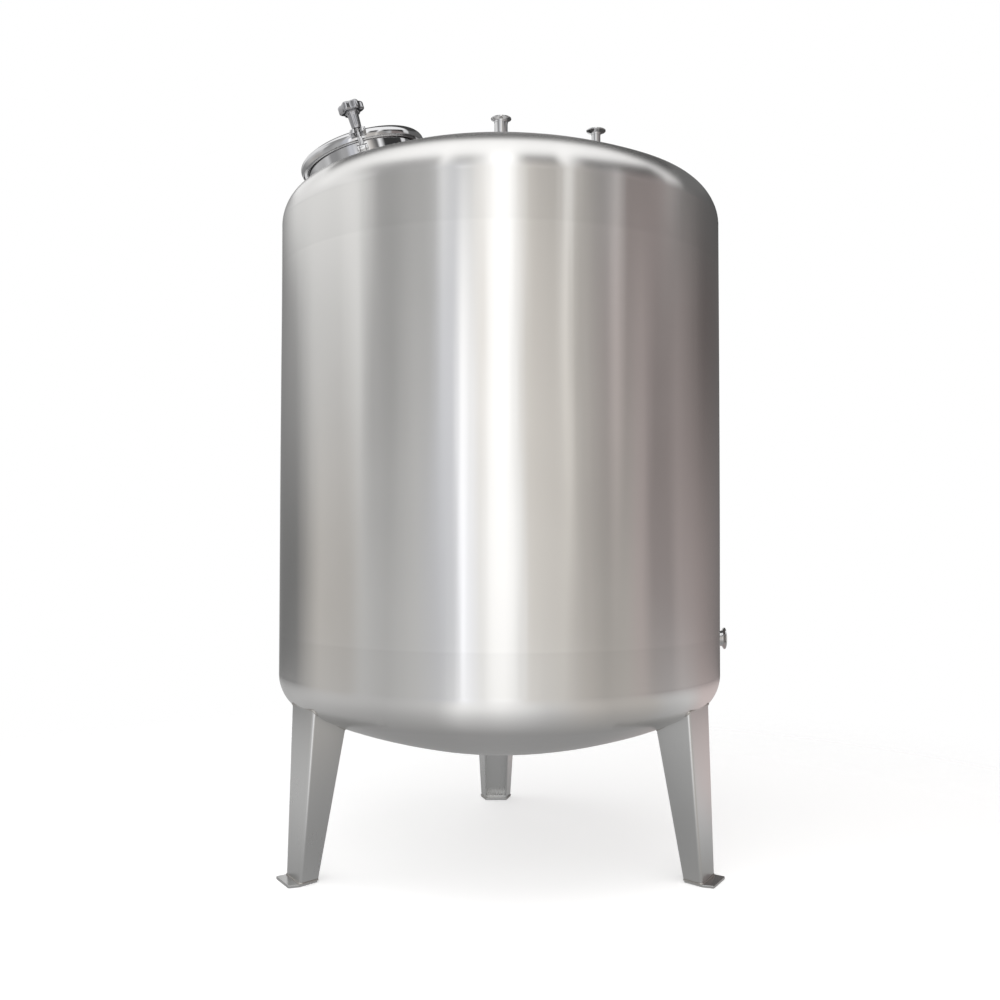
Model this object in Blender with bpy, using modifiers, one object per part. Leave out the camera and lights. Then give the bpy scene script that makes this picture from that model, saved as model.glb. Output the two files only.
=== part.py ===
"""Vertical stainless storage tank on three folded legs, with a manway, two top nozzles and a side outlet.

The origin is on the tank's axis at floor level, +Z is up, and the back leg stands on +Y.
"""

import math

import bmesh
import bpy
from mathutils import Matrix, Vector

# Driving dimensions, in metres.
GAP = 0.0003                     # left between pieces that are welded or seated on each other
CUT_PAST = 0.05                  # how far a cutter runs past what it cuts
TANK_RADIUS = 0.75
WALL = 0.004
BARREL_BOTTOM = 0.615
BARREL_HEIGHT = 1.5
CROWN_RADIUS = 1.58
KNUCKLE_RADIUS = 0.131
SHELL_PLATES = 8
SHELL_PLATE_FACETS = 8
HEAD_FACETS = 64

# The legs: widths and distances from the tank's axis, at the floor and at the barrel's bottom edge.
LEG_AZIMUTHS = {"left_leg": 210.0, "right_leg": 330.0, "back_leg": 90.0}
LEG_SHEET = 0.004
LEG_OUTER_AT_FLOOR = 0.745
LEG_OUTER_AT_BARREL = 0.713
LEG_INNER_AT_FLOOR = 0.680
LEG_INNER_AT_BARREL = 0.568
LEG_OUTER_WIDTH_AT_FLOOR = 0.123
LEG_OUTER_WIDTH_AT_BARREL = 0.196
LEG_INNER_WIDTH_AT_FLOOR = 0.085
LEG_INNER_WIDTH_AT_BARREL = 0.114
FOOT_THICKNESS = 0.008
FOOT_LIP = 0.035
FOOT_LIP_TAPER = 0.006           # how much narrower the lip is on each side at its tip

# The manway: its axis stands square on the top head, on the tank's left side.
MANWAY_TILT = 16.8
MANWAY_TURN = 2.4                # turns the hinge and the swing bolt about the manway's axis
MANWAY_FACETS = 48
NECK_RADIUS = 0.2015
NECK_WALL = 0.003
NECK_BELOW = 0.024
NECK_TOP = 0.070
NECK_FLANGE_RADIUS = 0.2135
NECK_FLANGE_THICKNESS = 0.004
GASKET_INNER = 0.2005
GASKET_OUTER = 0.2125
GASKET_TOP = 0.0925
GASKET_SHOULDER = 0.0035         # the slope on the gasket's outer top edge
LID_RADIUS = 0.221
LID_SHEET = 0.003
LID_SKIRT_BOTTOM = 0.064
LID_TOP = 0.099
LID_ROLL = 0.016                 # radius of the rolled rim's rounding
LID_VALLEY_RADIUS = 0.191        # the shallow valley between the rim and the dome
LID_VALLEY_DEPTH = 0.004
LID_DISH_RADIUS = 0.178
LID_DISH_RISE = 0.014
LID_DISH_EDGE_DEPTH = 0.007      # how far the dome's edge lies below the rim's top

# The hinge at the back of the manway and the swing bolt at its front.
HINGE_REACH = 0.262
HINGE_HEIGHT = 0.066
HINGE_EYE_RADIUS = 0.012
HINGE_STRAP_WIDTH = 0.027
HINGE_PAD_BOTTOM = 0.020
HINGE_PAD_TOP = 0.056
STRAP_BOTTOM = 0.066
STRAP_TOP = 0.083
CHEEK = 0.006                    # thickness of the cheek plates and of the pads behind them
CHEEK_SIDE_GAP = 0.0005
CHEEK_INSET = 0.002              # how far a cheek's root stops short of its pad's ends
PIN_RADIUS = 0.005
PIN_RUNNING_GAP = 0.0005
PIN_END = 0.002                  # how far a pin's ends stand out of its cheeks
PIN_FACETS = 16
BOLT_REACH = 0.2435
BOLT_PIVOT_HEIGHT = 0.020
BOLT_PAD_BOTTOM = -0.008
BOLT_PAD_TOP = 0.048
BOLT_RADIUS = 0.008
BOLT_EYE_RADIUS = 0.014
BOLT_EYE_WIDTH = 0.020
BOLT_TOP = 0.178
BOLT_FACETS = 16
EAR_BOTTOM = 0.069
EAR_TOP = 0.083
EAR_WIDTH = 0.052
EAR_SLOT = 0.022
EAR_SLOT_END = -0.2335           # the closed end of the slot, between the bolt and the lid
EAR_REACH = 0.266
HUB_BOTTOM = 0.088
HUB_BOTTOM_RADIUS = 0.016
HUB_TOP_RADIUS = 0.019
HUB_FACETS = 20
KNOB_BOTTOM = 0.1435
KNOB_TOP = 0.1725
KNOB_RADIUS = 0.042
KNOB_LOBES = 6
KNOB_LOBE_DEPTH = 0.0075
KNOB_LOBE_STEPS = 6

# The nozzles: tube and ferrule radii, and where they stand.
NOZZLE_FACETS = 24
NOZZLE_WALL = 0.002
FERRULE_EDGE = 0.004
FERRULE_TAPER = 0.006
FERRULE_SPIGOT = 0.006           # the ferrule's short straight end, a little thicker than the tube
FERRULE_SPIGOT_STEP = 0.001
NOZZLE_SET_THROUGH = 0.006
CENTRE_NOZZLE = {"x": 0.0, "y": -0.2, "height": 0.085, "tube": 0.022, "ferrule": 0.034}
RIGHT_NOZZLE = {"x": 0.315, "y": -0.2, "height": 0.078, "tube": 0.0145, "ferrule": 0.032}
SIDE_OUTLET = {"z": 0.72, "reach": 0.031, "tube": 0.0255, "ferrule": 0.037}

# Finishes: colour, metallic, roughness.
FINISHES = {
    "satin_shell": ((0.72, 0.72, 0.70), 1.0, 0.32),
    "satin_legs": ((0.66, 0.65, 0.64), 1.0, 0.42),
    "mirror_steel": ((0.80, 0.80, 0.80), 1.0, 0.08),
    "gasket_rubber": ((0.90, 0.89, 0.86), 0.0, 0.55),
}

BARREL_TOP = BARREL_BOTTOM + BARREL_HEIGHT
HEAD_DEPTH = CROWN_RADIUS - math.sqrt(
    (CROWN_RADIUS - KNUCKLE_RADIUS) ** 2 - (TANK_RADIUS - KNUCKLE_RADIUS) ** 2)
TOP_CROWN_CENTRE = Vector((0.0, 0.0, BARREL_TOP + HEAD_DEPTH - CROWN_RADIUS))


def clear_scene():
    for obj in list(bpy.data.objects):
        bpy.data.objects.remove(obj, do_unlink=True)


def make_collections():
    collections = [bpy.data.collections.new(name) for name in ("storage_tank", "cutters", "manway_cutters")]
    for collection in collections:
        bpy.context.scene.collection.children.link(collection)
    return collections


def make_finishes():
    finishes = {}
    for name, (colour, metallic, roughness) in FINISHES.items():
        material = bpy.data.materials.new(name)
        material.use_nodes = True
        shader = material.node_tree.nodes["Principled BSDF"]
        shader.inputs["Base Color"].default_value = (*colour, 1.0)
        shader.inputs["Metallic"].default_value = metallic
        shader.inputs["Roughness"].default_value = roughness
        finishes[name] = material
    return finishes


def add_object(name, mesh, collection):
    obj = bpy.data.objects.new(name, mesh)
    collection.objects.link(obj)
    return obj


def turned(name, profile, facets, collection):
    """A turned solid. A profile that starts off the axis is closed into a ring."""
    mesh = bpy.data.meshes.new(name)
    points = [(radius, 0.0, height) for radius, height in profile]
    edges = [(i, i + 1) for i in range(len(points) - 1)]
    if profile[0][0] > 0.0:
        edges.append((len(points) - 1, 0))
    mesh.from_pydata(points, edges, [])
    obj = add_object(name, mesh, collection)
    screw = obj.modifiers.new("turn", "SCREW")
    screw.steps = facets
    screw.render_steps = facets
    screw.use_merge_vertices = True
    screw.merge_threshold = 0.00001
    screw.use_smooth_shade = True
    return obj


def box(name, low, high, collection):
    mesh = bpy.data.meshes.new(name)
    body = bmesh.new()
    bmesh.ops.create_cube(body, size=1.0)
    for vertex in body.verts:
        for axis in range(3):
            middle = (low[axis] + high[axis]) / 2
            vertex.co[axis] = middle + vertex.co[axis] * (high[axis] - low[axis])
    body.to_mesh(mesh)
    body.free()
    return add_object(name, mesh, collection)


def cylinder(name, radius, start, end, facets, collection):
    """A cylinder between two points."""
    start = Vector(start)
    end = Vector(end)
    mesh = bpy.data.meshes.new(name)
    body = bmesh.new()
    bmesh.ops.create_cone(body, cap_ends=True, segments=facets, radius1=radius, radius2=radius,
                          depth=(end - start).length)
    turn = Vector((0.0, 0.0, 1.0)).rotation_difference(end - start).to_matrix().to_4x4()
    body.transform(Matrix.Translation((start + end) / 2) @ turn)
    body.to_mesh(mesh)
    body.free()
    return add_object(name, mesh, collection)


def extruded(name, outline, low, high, collection):
    """A flat outline in the XY plane, given thickness from low to high."""
    curve = bpy.data.curves.new(name, "CURVE")
    curve.dimensions = "2D"
    curve.fill_mode = "BOTH"
    curve.extrude = (high - low) / 2
    spline = curve.splines.new("POLY")
    spline.points.add(len(outline) - 1)
    for point, (x, y) in zip(spline.points, outline):
        point.co = (x, y, 0.0, 1.0)
    spline.use_cyclic_u = True
    guide = bpy.data.objects.new(name + "_outline", curve)
    bpy.context.scene.collection.objects.link(guide)
    graph = bpy.context.evaluated_depsgraph_get()
    mesh = bpy.data.meshes.new_from_object(guide.evaluated_get(graph))
    bpy.data.objects.remove(guide, do_unlink=True)
    body = bmesh.new()
    body.from_mesh(mesh)
    bmesh.ops.remove_doubles(body, verts=body.verts, dist=0.00001)
    bmesh.ops.translate(body, verts=body.verts, vec=(0.0, 0.0, (low + high) / 2))
    bmesh.ops.recalc_face_normals(body, faces=body.faces)
    body.to_mesh(mesh)
    body.free()
    return add_object(name, mesh, collection)


def boolean(obj, other, operation):
    other.hide_render = True
    other.display_type = "WIRE"
    step = obj.modifiers.new(other.name, "BOOLEAN")
    step.operation = operation
    step.object = other


def cut(obj, *cutters):
    for cutter in cutters:
        boolean(obj, cutter, "DIFFERENCE")


def join(obj, *others):
    for other in others:
        boolean(obj, other, "UNION")


def arc(centre, radius, start, end, count):
    """Points on an arc, in degrees, both ends included."""
    points = []
    for i in range(count + 1):
        angle = math.radians(start + (end - start) * i / count)
        points.append((centre[0] + radius * math.cos(angle), centre[1] + radius * math.sin(angle)))
    return points


def dish(inset, knuckle_steps=5, crown_steps=6):
    """The head's profile from its apex down to its rim, moved inwards by inset."""
    crown = CROWN_RADIUS - inset
    knuckle = KNUCKLE_RADIUS - inset
    crown_centre = (0.0, HEAD_DEPTH - CROWN_RADIUS)
    knuckle_centre = (TANK_RADIUS - KNUCKLE_RADIUS, 0.0)
    join_angle = math.degrees(math.acos(
        (TANK_RADIUS - KNUCKLE_RADIUS) / (CROWN_RADIUS - KNUCKLE_RADIUS)))
    crown_arc = arc(crown_centre, crown, 90.0, join_angle, crown_steps)
    crown_arc[0] = (0.0, crown_arc[0][1])
    return crown_arc + arc(knuckle_centre, knuckle, join_angle, 0.0, knuckle_steps)[1:]


def head_shell(name, collection):
    profile = dish(0.0) + list(reversed(dish(WALL)))
    return turned(name, profile, HEAD_FACETS, collection)


def shell_plate(index, collection):
    """One rolled plate of the barrel, between two upright edges."""
    span = 360.0 / SHELL_PLATES
    trim = math.degrees(GAP / 2 / TANK_RADIUS)
    start = index * span - span / 2 + trim
    end = index * span + span / 2 - trim
    outer = arc((0.0, 0.0), TANK_RADIUS, start, end, SHELL_PLATE_FACETS)
    inner = arc((0.0, 0.0), TANK_RADIUS - WALL, end, start, SHELL_PLATE_FACETS)
    return extruded("shell_plate_" + str(index + 1), outer + inner,
                    BARREL_BOTTOM + GAP, BARREL_TOP - GAP, collection)


def leg_block(name, low, high, inset, reach, collection):
    """A tapered block: the leg's outline moved in by inset and its open side moved out by reach."""
    def blend(at_floor, at_barrel, height):
        return at_floor + (at_barrel - at_floor) * height / BARREL_BOTTOM

    block = box(name, (-0.5, -0.5, low), (0.5, 0.5, high), collection)
    for vertex in block.data.vertices:
        height = vertex.co.z
        outer = blend(LEG_OUTER_AT_FLOOR, LEG_OUTER_AT_BARREL, height)
        inner = blend(LEG_INNER_AT_FLOOR, LEG_INNER_AT_BARREL, height)
        outer_half = blend(LEG_OUTER_WIDTH_AT_FLOOR, LEG_OUTER_WIDTH_AT_BARREL, height) / 2
        inner_half = blend(LEG_INNER_WIDTH_AT_FLOOR, LEG_INNER_WIDTH_AT_BARREL, height) / 2
        flare = (outer_half - inner_half) / (outer - inner)
        along = outer - inset if vertex.co.x > 0.0 else inner - reach
        side = 1.0 if vertex.co.y > 0.0 else -1.0
        half = inner_half + flare * (along - inner) - inset * math.hypot(1.0, flare)
        vertex.co.x = along
        vertex.co.y = side * half
    return block


def leg(name, azimuth, parts, cutters):
    """A sheet folded into a tapered channel, open towards the tank's axis, cut to the bottom head."""
    channel = leg_block(name, FOOT_THICKNESS + GAP, BARREL_BOTTOM, 0.0, 0.0, parts)
    hollow = leg_block(name + "_hollow", -CUT_PAST, BARREL_BOTTOM + CUT_PAST, LEG_SHEET, CUT_PAST, cutters)
    head = turned(name + "_head", dish(-GAP) + [(0.0, 0.0)], HEAD_FACETS, cutters)
    head.location.z = BARREL_BOTTOM
    head.rotation_euler.x = math.pi
    cut(channel, hollow, head)
    foot = leg_foot(name.replace("leg", "foot"), parts)
    for piece in (channel, foot, hollow):
        piece.rotation_euler.z = math.radians(azimuth)
    return channel, foot


def leg_foot(name, collection):
    """The foot plate, which reaches outwards past its leg as a lip."""
    inner = (LEG_INNER_AT_FLOOR, LEG_INNER_WIDTH_AT_FLOOR / 2)
    outer = (LEG_OUTER_AT_FLOOR, LEG_OUTER_WIDTH_AT_FLOOR / 2)
    lip = (LEG_OUTER_AT_FLOOR + FOOT_LIP, LEG_OUTER_WIDTH_AT_FLOOR / 2 - FOOT_LIP_TAPER)
    right = [inner, outer, lip]
    outline = [(x, -y) for x, y in right] + [(x, y) for x, y in reversed(right)]
    return extruded(name, outline, 0.0, FOOT_THICKNESS, collection)


def manway_matrix():
    """The manway's own frame: +Z out of the tank along its axis, +Y towards its hinge."""
    tilt = Matrix.Rotation(math.radians(-MANWAY_TILT), 4, "Y")
    turn = Matrix.Rotation(math.radians(MANWAY_TURN), 4, "Z")
    outwards = tilt @ Vector((0.0, 0.0, CROWN_RADIUS))
    return Matrix.Translation(TOP_CROWN_CENTRE + outwards) @ tilt @ turn


def place(matrix, *objects):
    for obj in objects:
        obj.matrix_basis = matrix @ obj.matrix_basis


def manway_neck(collection):
    inner = NECK_RADIUS - NECK_WALL
    profile = [
        (NECK_FLANGE_RADIUS, NECK_TOP),
        (NECK_FLANGE_RADIUS, NECK_TOP - NECK_FLANGE_THICKNESS),
        (NECK_RADIUS, NECK_TOP - NECK_FLANGE_THICKNESS),
        (NECK_RADIUS, -NECK_BELOW),
        (inner, -NECK_BELOW),
        (inner, NECK_TOP),
    ]
    return turned("manway_neck", profile, MANWAY_FACETS, collection)


def manway_gasket(collection):
    bottom = NECK_TOP + GAP
    profile = [
        (GASKET_OUTER, GASKET_TOP - GASKET_SHOULDER),
        (GASKET_OUTER, bottom),
        (GASKET_INNER, bottom),
        (GASKET_INNER, GASKET_TOP),
        (GASKET_OUTER - GASKET_SHOULDER, GASKET_TOP),
    ]
    return turned("manway_gasket", profile, MANWAY_FACETS, collection)


def manway_lid(collection):
    """A pressed lid: a shallow dome inside a rolled rim with a skirt over the neck's flange."""
    roll_centre = (LID_RADIUS - LID_ROLL, LID_TOP - LID_ROLL)
    dome_radius = (LID_DISH_RADIUS ** 2 + LID_DISH_RISE ** 2) / (2 * LID_DISH_RISE)
    dome_top = LID_TOP - LID_DISH_EDGE_DEPTH + LID_DISH_RISE
    half_angle = math.degrees(math.asin(LID_DISH_RADIUS / dome_radius))

    def lid_face(inset):
        dome = arc((0.0, dome_top - dome_radius), dome_radius - inset, 90.0, 90.0 - half_angle, 4)
        dome[0] = (0.0, dome[0][1])
        valley = [(LID_VALLEY_RADIUS, LID_TOP - LID_VALLEY_DEPTH - inset)]
        roll = arc(roll_centre, LID_ROLL - inset, 90.0, 0.0, 4)
        return dome + valley + roll + [(LID_RADIUS - inset, LID_SKIRT_BOTTOM)]

    return turned("manway_lid", lid_face(0.0) + list(reversed(lid_face(LID_SHEET))),
                  MANWAY_FACETS, collection)


def upright_profile(name, outline, low, high, collection):
    """A plate cut in the manway's YZ plane, thick along X from low to high."""
    obj = extruded(name, [(z, y) for y, z in outline], low, high, collection)
    swap = Matrix(((0.0, 0.0, 1.0, 0.0), (0.0, 1.0, 0.0, 0.0), (1.0, 0.0, 0.0, 0.0), (0.0, 0.0, 0.0, 1.0)))
    body = bmesh.new()
    body.from_mesh(obj.data)
    body.transform(swap)
    bmesh.ops.recalc_face_normals(body, faces=body.faces)
    body.to_mesh(obj.data)
    body.free()
    return obj


def cheek_outline(root, reach, height, eye, foot, shoulder):
    """A cheek plate's side view: its root on the neck, and a round end about its pin."""
    side = 1.0 if reach > 0.0 else -1.0
    rounding = arc((0.0, 0.0), eye, 90.0, -90.0, 8)
    nose = [(reach + side * y, height + z) for y, z in rounding]
    return [(root, shoulder)] + nose + [(root, foot)]


def cross_bar(name, radius, half, reach, height, collection):
    """A round bar along X, at a place in the manway's YZ plane."""
    return cylinder(name, radius, (-half, reach, height), (half, reach, height), PIN_FACETS, collection)


def pin_bore(name, radius, reach, height, cutters):
    return cross_bar(name, radius, CUT_PAST, reach, height, cutters)


def hinge_lugs(collection, cutters):
    """Two cheeks on a small plate at the back of the neck, bored for the pin."""
    half = HINGE_STRAP_WIDTH / 2 + CHEEK_SIDE_GAP
    root = NECK_RADIUS + GAP
    lugs = box("hinge_lugs", (-half - CHEEK, root, HINGE_PAD_BOTTOM),
               (half + CHEEK, root + CHEEK, HINGE_PAD_TOP), collection)
    outline = cheek_outline(root + CHEEK / 2, HINGE_REACH, HINGE_HEIGHT, HINGE_EYE_RADIUS,
                            HINGE_PAD_BOTTOM + CHEEK_INSET, HINGE_PAD_TOP - CHEEK_INSET)
    for side, low in (("a", -half - CHEEK), ("b", half)):
        join(lugs, upright_profile("hinge_cheek_" + side, outline, low, low + CHEEK, cutters))
    cut(lugs, pin_bore("hinge_lug_bore", PIN_RADIUS + GAP, HINGE_REACH, HINGE_HEIGHT, cutters))
    return lugs


def lid_strap(collection, cutters):
    """The bar from the lid's skirt to the hinge pin."""
    half = HINGE_STRAP_WIDTH / 2
    outline = cheek_outline(LID_RADIUS + GAP, HINGE_REACH, HINGE_HEIGHT, HINGE_EYE_RADIUS,
                            STRAP_BOTTOM, STRAP_TOP)
    strap = upright_profile("lid_strap", outline, -half, half, collection)
    cut(strap, pin_bore("lid_strap_bore", PIN_RADIUS + PIN_RUNNING_GAP, HINGE_REACH, HINGE_HEIGHT, cutters))
    return strap


def hinge_pin(collection):
    half = HINGE_STRAP_WIDTH / 2 + CHEEK_SIDE_GAP + CHEEK + PIN_END
    return cross_bar("hinge_pin", PIN_RADIUS, half, HINGE_REACH, HINGE_HEIGHT, collection)


def lid_ear(collection, cutters):
    """The forked ear on the lid's skirt that the swing bolt drops into."""
    ear = box("lid_ear", (-EAR_WIDTH / 2, -EAR_REACH, EAR_BOTTOM),
              (EAR_WIDTH / 2, -LID_RADIUS - GAP, EAR_TOP), collection)
    slot = box("ear_slot", (-EAR_SLOT / 2, -EAR_REACH - CUT_PAST, EAR_BOTTOM - CUT_PAST),
               (EAR_SLOT / 2, EAR_SLOT_END, EAR_TOP + CUT_PAST), cutters)
    cut(ear, slot)
    return ear


def bolt_lugs(collection, cutters):
    """Two cheeks at the foot of the neck's front that carry the swing bolt's pin."""
    half = BOLT_EYE_WIDTH / 2 + CHEEK_SIDE_GAP
    root = -NECK_RADIUS - GAP
    lugs = box("bolt_lugs", (-half - CHEEK, root - CHEEK, BOLT_PAD_BOTTOM),
               (half + CHEEK, root, BOLT_PAD_TOP), collection)
    outline = cheek_outline(root - CHEEK / 2, -BOLT_REACH, BOLT_PIVOT_HEIGHT, BOLT_EYE_RADIUS,
                            BOLT_PAD_BOTTOM + CHEEK_INSET, BOLT_PAD_TOP - CHEEK_INSET)
    for side, low in (("a", -half - CHEEK), ("b", half)):
        join(lugs, upright_profile("bolt_cheek_" + side, outline, low, low + CHEEK, cutters))
    cut(lugs, pin_bore("bolt_lug_bore", PIN_RADIUS + GAP, -BOLT_REACH, BOLT_PIVOT_HEIGHT, cutters))
    return lugs


def bolt_pin(collection):
    half = BOLT_EYE_WIDTH / 2 + CHEEK_SIDE_GAP + CHEEK + PIN_END
    return cross_bar("bolt_pin", PIN_RADIUS, half, -BOLT_REACH, BOLT_PIVOT_HEIGHT, collection)


def swing_bolt(collection, cutters):
    """An eye bolt that pivots on its pin."""
    shank = cylinder("swing_bolt", BOLT_RADIUS, (0.0, -BOLT_REACH, BOLT_PIVOT_HEIGHT),
                     (0.0, -BOLT_REACH, BOLT_TOP), BOLT_FACETS, collection)
    eye = cross_bar("bolt_eye", BOLT_EYE_RADIUS, BOLT_EYE_WIDTH / 2, -BOLT_REACH, BOLT_PIVOT_HEIGHT, cutters)
    bore = pin_bore("bolt_eye_bore", PIN_RADIUS + PIN_RUNNING_GAP, -BOLT_REACH, BOLT_PIVOT_HEIGHT, cutters)
    join(shank, eye)
    cut(shank, bore)
    return shank


def hand_knob(collection, cutters):
    """A lobed hand knob with a tapered hub below it, threaded on the swing bolt."""
    outline = []
    steps = KNOB_LOBES * KNOB_LOBE_STEPS
    for i in range(steps):
        angle = 2 * math.pi * i / steps
        radius = KNOB_RADIUS - KNOB_LOBE_DEPTH * (1 - math.cos(KNOB_LOBES * angle)) / 2
        outline.append((radius * math.cos(angle), radius * math.sin(angle)))
    knob = extruded("hand_knob", outline, KNOB_BOTTOM, KNOB_TOP, collection)
    hub_top = (KNOB_BOTTOM + KNOB_TOP) / 2
    hub = turned("knob_hub", [(0.0, hub_top), (HUB_TOP_RADIUS, hub_top), (HUB_TOP_RADIUS, KNOB_BOTTOM),
                              (HUB_BOTTOM_RADIUS, HUB_BOTTOM), (0.0, HUB_BOTTOM)], HUB_FACETS, cutters)
    bore = cylinder("knob_bore", BOLT_RADIUS + GAP, (0.0, 0.0, HUB_BOTTOM - CUT_PAST),
                    (0.0, 0.0, KNOB_TOP + CUT_PAST), BOLT_FACETS, cutters)
    join(knob, hub)
    cut(knob, bore)
    for piece in (knob, hub, bore):
        piece.location.y = -BOLT_REACH
    return knob


def ferrule_profile(tube, ferrule, face):
    """The clamp ferrule's ring at the end of a tube, its flat face at the given height."""
    taper_end = face - FERRULE_EDGE - FERRULE_TAPER
    return [
        (ferrule, face),
        (ferrule, face - FERRULE_EDGE),
        (tube + FERRULE_SPIGOT_STEP, taper_end),
        (tube + FERRULE_SPIGOT_STEP, taper_end - FERRULE_SPIGOT),
        (tube - NOZZLE_WALL, taper_end - FERRULE_SPIGOT),
        (tube - NOZZLE_WALL, face),
    ]


def nozzle(name, sizes, base, length, collection, cutters):
    """A tube and its ferrule along +Z from the base, and the cutter for the hole that they need."""
    tube = sizes["tube"]
    joint = length - FERRULE_EDGE - FERRULE_TAPER - FERRULE_SPIGOT - GAP
    pipe = turned(name + "_tube", [(tube, joint), (tube, base), (tube - NOZZLE_WALL, base),
                                   (tube - NOZZLE_WALL, joint)], NOZZLE_FACETS, collection)
    ring = turned(name + "_ferrule", ferrule_profile(tube, sizes["ferrule"], length),
                  NOZZLE_FACETS, collection)
    hole = cylinder(name + "_hole", tube + GAP, (0.0, 0.0, base - CUT_PAST), (0.0, 0.0, length),
                    NOZZLE_FACETS, cutters)
    return pipe, ring, hole


def top_nozzle(name, sizes, collection, cutters):
    rise = math.sqrt(CROWN_RADIUS ** 2 - sizes["x"] ** 2 - sizes["y"] ** 2)
    foot = Vector((sizes["x"], sizes["y"], TOP_CROWN_CENTRE.z + rise))
    drop = sizes["tube"] * math.hypot(sizes["x"], sizes["y"]) / rise
    pieces = nozzle(name, sizes, -drop - WALL - NOZZLE_SET_THROUGH, sizes["height"], collection, cutters)
    place(Matrix.Translation(foot), *pieces)
    return pieces


def side_outlet(collection, cutters):
    pieces = nozzle("side_outlet", SIDE_OUTLET, -WALL - NOZZLE_SET_THROUGH, SIDE_OUTLET["reach"],
                    collection, cutters)
    sideways = Matrix.Rotation(math.radians(90.0), 4, "Y")
    place(Matrix.Translation((TANK_RADIUS, 0.0, SIDE_OUTLET["z"])) @ sideways, *pieces)
    return pieces


def finish(material, *objects):
    for obj in objects:
        obj.data.materials.clear()
        obj.data.materials.append(material)
        for polygon in obj.data.polygons:
            polygon.material_index = 0


def build():
    clear_scene()
    parts, cutters, manway_cutters = make_collections()
    finishes = make_finishes()
    satin_shell = finishes["satin_shell"]
    mirror = finishes["mirror_steel"]

    plates = [shell_plate(index, parts) for index in range(SHELL_PLATES)]
    top_head = head_shell("top_head", parts)
    top_head.location.z = BARREL_TOP
    bottom_head = head_shell("bottom_head", parts)
    bottom_head.location.z = BARREL_BOTTOM
    bottom_head.rotation_euler.x = math.pi
    finish(satin_shell, top_head, bottom_head, *plates)

    for name, azimuth in LEG_AZIMUTHS.items():
        finish(finishes["satin_legs"], *leg(name, azimuth, parts, cutters))

    neck_hole = cylinder("neck_hole", NECK_RADIUS + GAP, (0.0, 0.0, -NECK_BELOW - CUT_PAST),
                         (0.0, 0.0, NECK_TOP), MANWAY_FACETS, manway_cutters)
    cut(top_head, neck_hole)
    gasket = manway_gasket(parts)
    steel = [
        manway_neck(parts),
        manway_lid(parts),
        lid_ear(parts, manway_cutters),
        lid_strap(parts, manway_cutters),
        hinge_lugs(parts, manway_cutters),
        hinge_pin(parts),
        bolt_lugs(parts, manway_cutters),
        bolt_pin(parts),
        swing_bolt(parts, manway_cutters),
        hand_knob(parts, manway_cutters),
    ]
    finish(mirror, *steel)
    finish(finishes["gasket_rubber"], gasket)
    place(manway_matrix(), gasket, *steel, *manway_cutters.objects)

    for name, sizes in (("centre_nozzle", CENTRE_NOZZLE), ("right_nozzle", RIGHT_NOZZLE)):
        pipe, ring, hole = top_nozzle(name, sizes, parts, cutters)
        cut(top_head, hole)
        finish(mirror, pipe, ring)
    pipe, ring, hole = side_outlet(parts, cutters)
    cut(plates[0], hole)
    finish(mirror, pipe, ring)


build()
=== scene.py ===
"""Looks of an upright stainless storage tank: barrel, dished heads, folded legs, manway and ferrules."""

import math

import bmesh
import bpy
from mathutils import Matrix, Vector, noise

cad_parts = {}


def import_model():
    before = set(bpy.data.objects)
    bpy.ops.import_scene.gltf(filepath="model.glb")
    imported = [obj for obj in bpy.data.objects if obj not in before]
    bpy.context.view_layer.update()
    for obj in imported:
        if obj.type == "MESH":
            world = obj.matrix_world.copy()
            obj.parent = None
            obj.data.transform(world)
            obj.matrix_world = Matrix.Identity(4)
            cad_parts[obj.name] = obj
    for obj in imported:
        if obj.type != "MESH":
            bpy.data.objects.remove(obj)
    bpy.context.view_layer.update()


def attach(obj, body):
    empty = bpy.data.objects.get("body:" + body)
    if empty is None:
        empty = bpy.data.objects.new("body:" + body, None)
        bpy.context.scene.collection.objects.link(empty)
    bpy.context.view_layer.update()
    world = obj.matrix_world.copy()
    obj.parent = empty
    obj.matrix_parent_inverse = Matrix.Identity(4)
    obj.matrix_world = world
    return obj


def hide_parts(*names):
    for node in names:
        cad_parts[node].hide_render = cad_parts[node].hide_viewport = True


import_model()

# Driving dimensions of the tank, in metres, the same as in the solids.
GAP = 0.0003
TANK_RADIUS = 0.75
WALL = 0.004
BARREL_BOTTOM = 0.615
BARREL_TOP = 2.115
CROWN_RADIUS = 1.58
KNUCKLE_RADIUS = 0.131
HEAD_DEPTH = CROWN_RADIUS - math.sqrt(
    (CROWN_RADIUS - KNUCKLE_RADIUS) ** 2 - (TANK_RADIUS - KNUCKLE_RADIUS) ** 2)
CROWN_ANGLE = math.degrees(math.acos((TANK_RADIUS - KNUCKLE_RADIUS) / (CROWN_RADIUS - KNUCKLE_RADIUS)))
TOP_CROWN_CENTRE = Vector((0.0, 0.0, BARREL_TOP + HEAD_DEPTH - CROWN_RADIUS))

# The folded legs: distances from the axis and widths, at the floor and at the barrel's bottom edge.
LEG_AZIMUTHS = {"left": 210.0, "right": 330.0, "back": 90.0}
LEG_SHEET = 0.004
LEG_FOLD_RADIUS = 0.008
LEG_OUTER = (0.745, 0.713)
LEG_INNER = (0.680, 0.568)
LEG_OUTER_WIDTH = (0.123, 0.196)
LEG_INNER_WIDTH = (0.085, 0.114)
FOOT_THICKNESS = 0.008
FOOT_LIP = 0.035
FOOT_LIP_TAPER = 0.006

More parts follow.
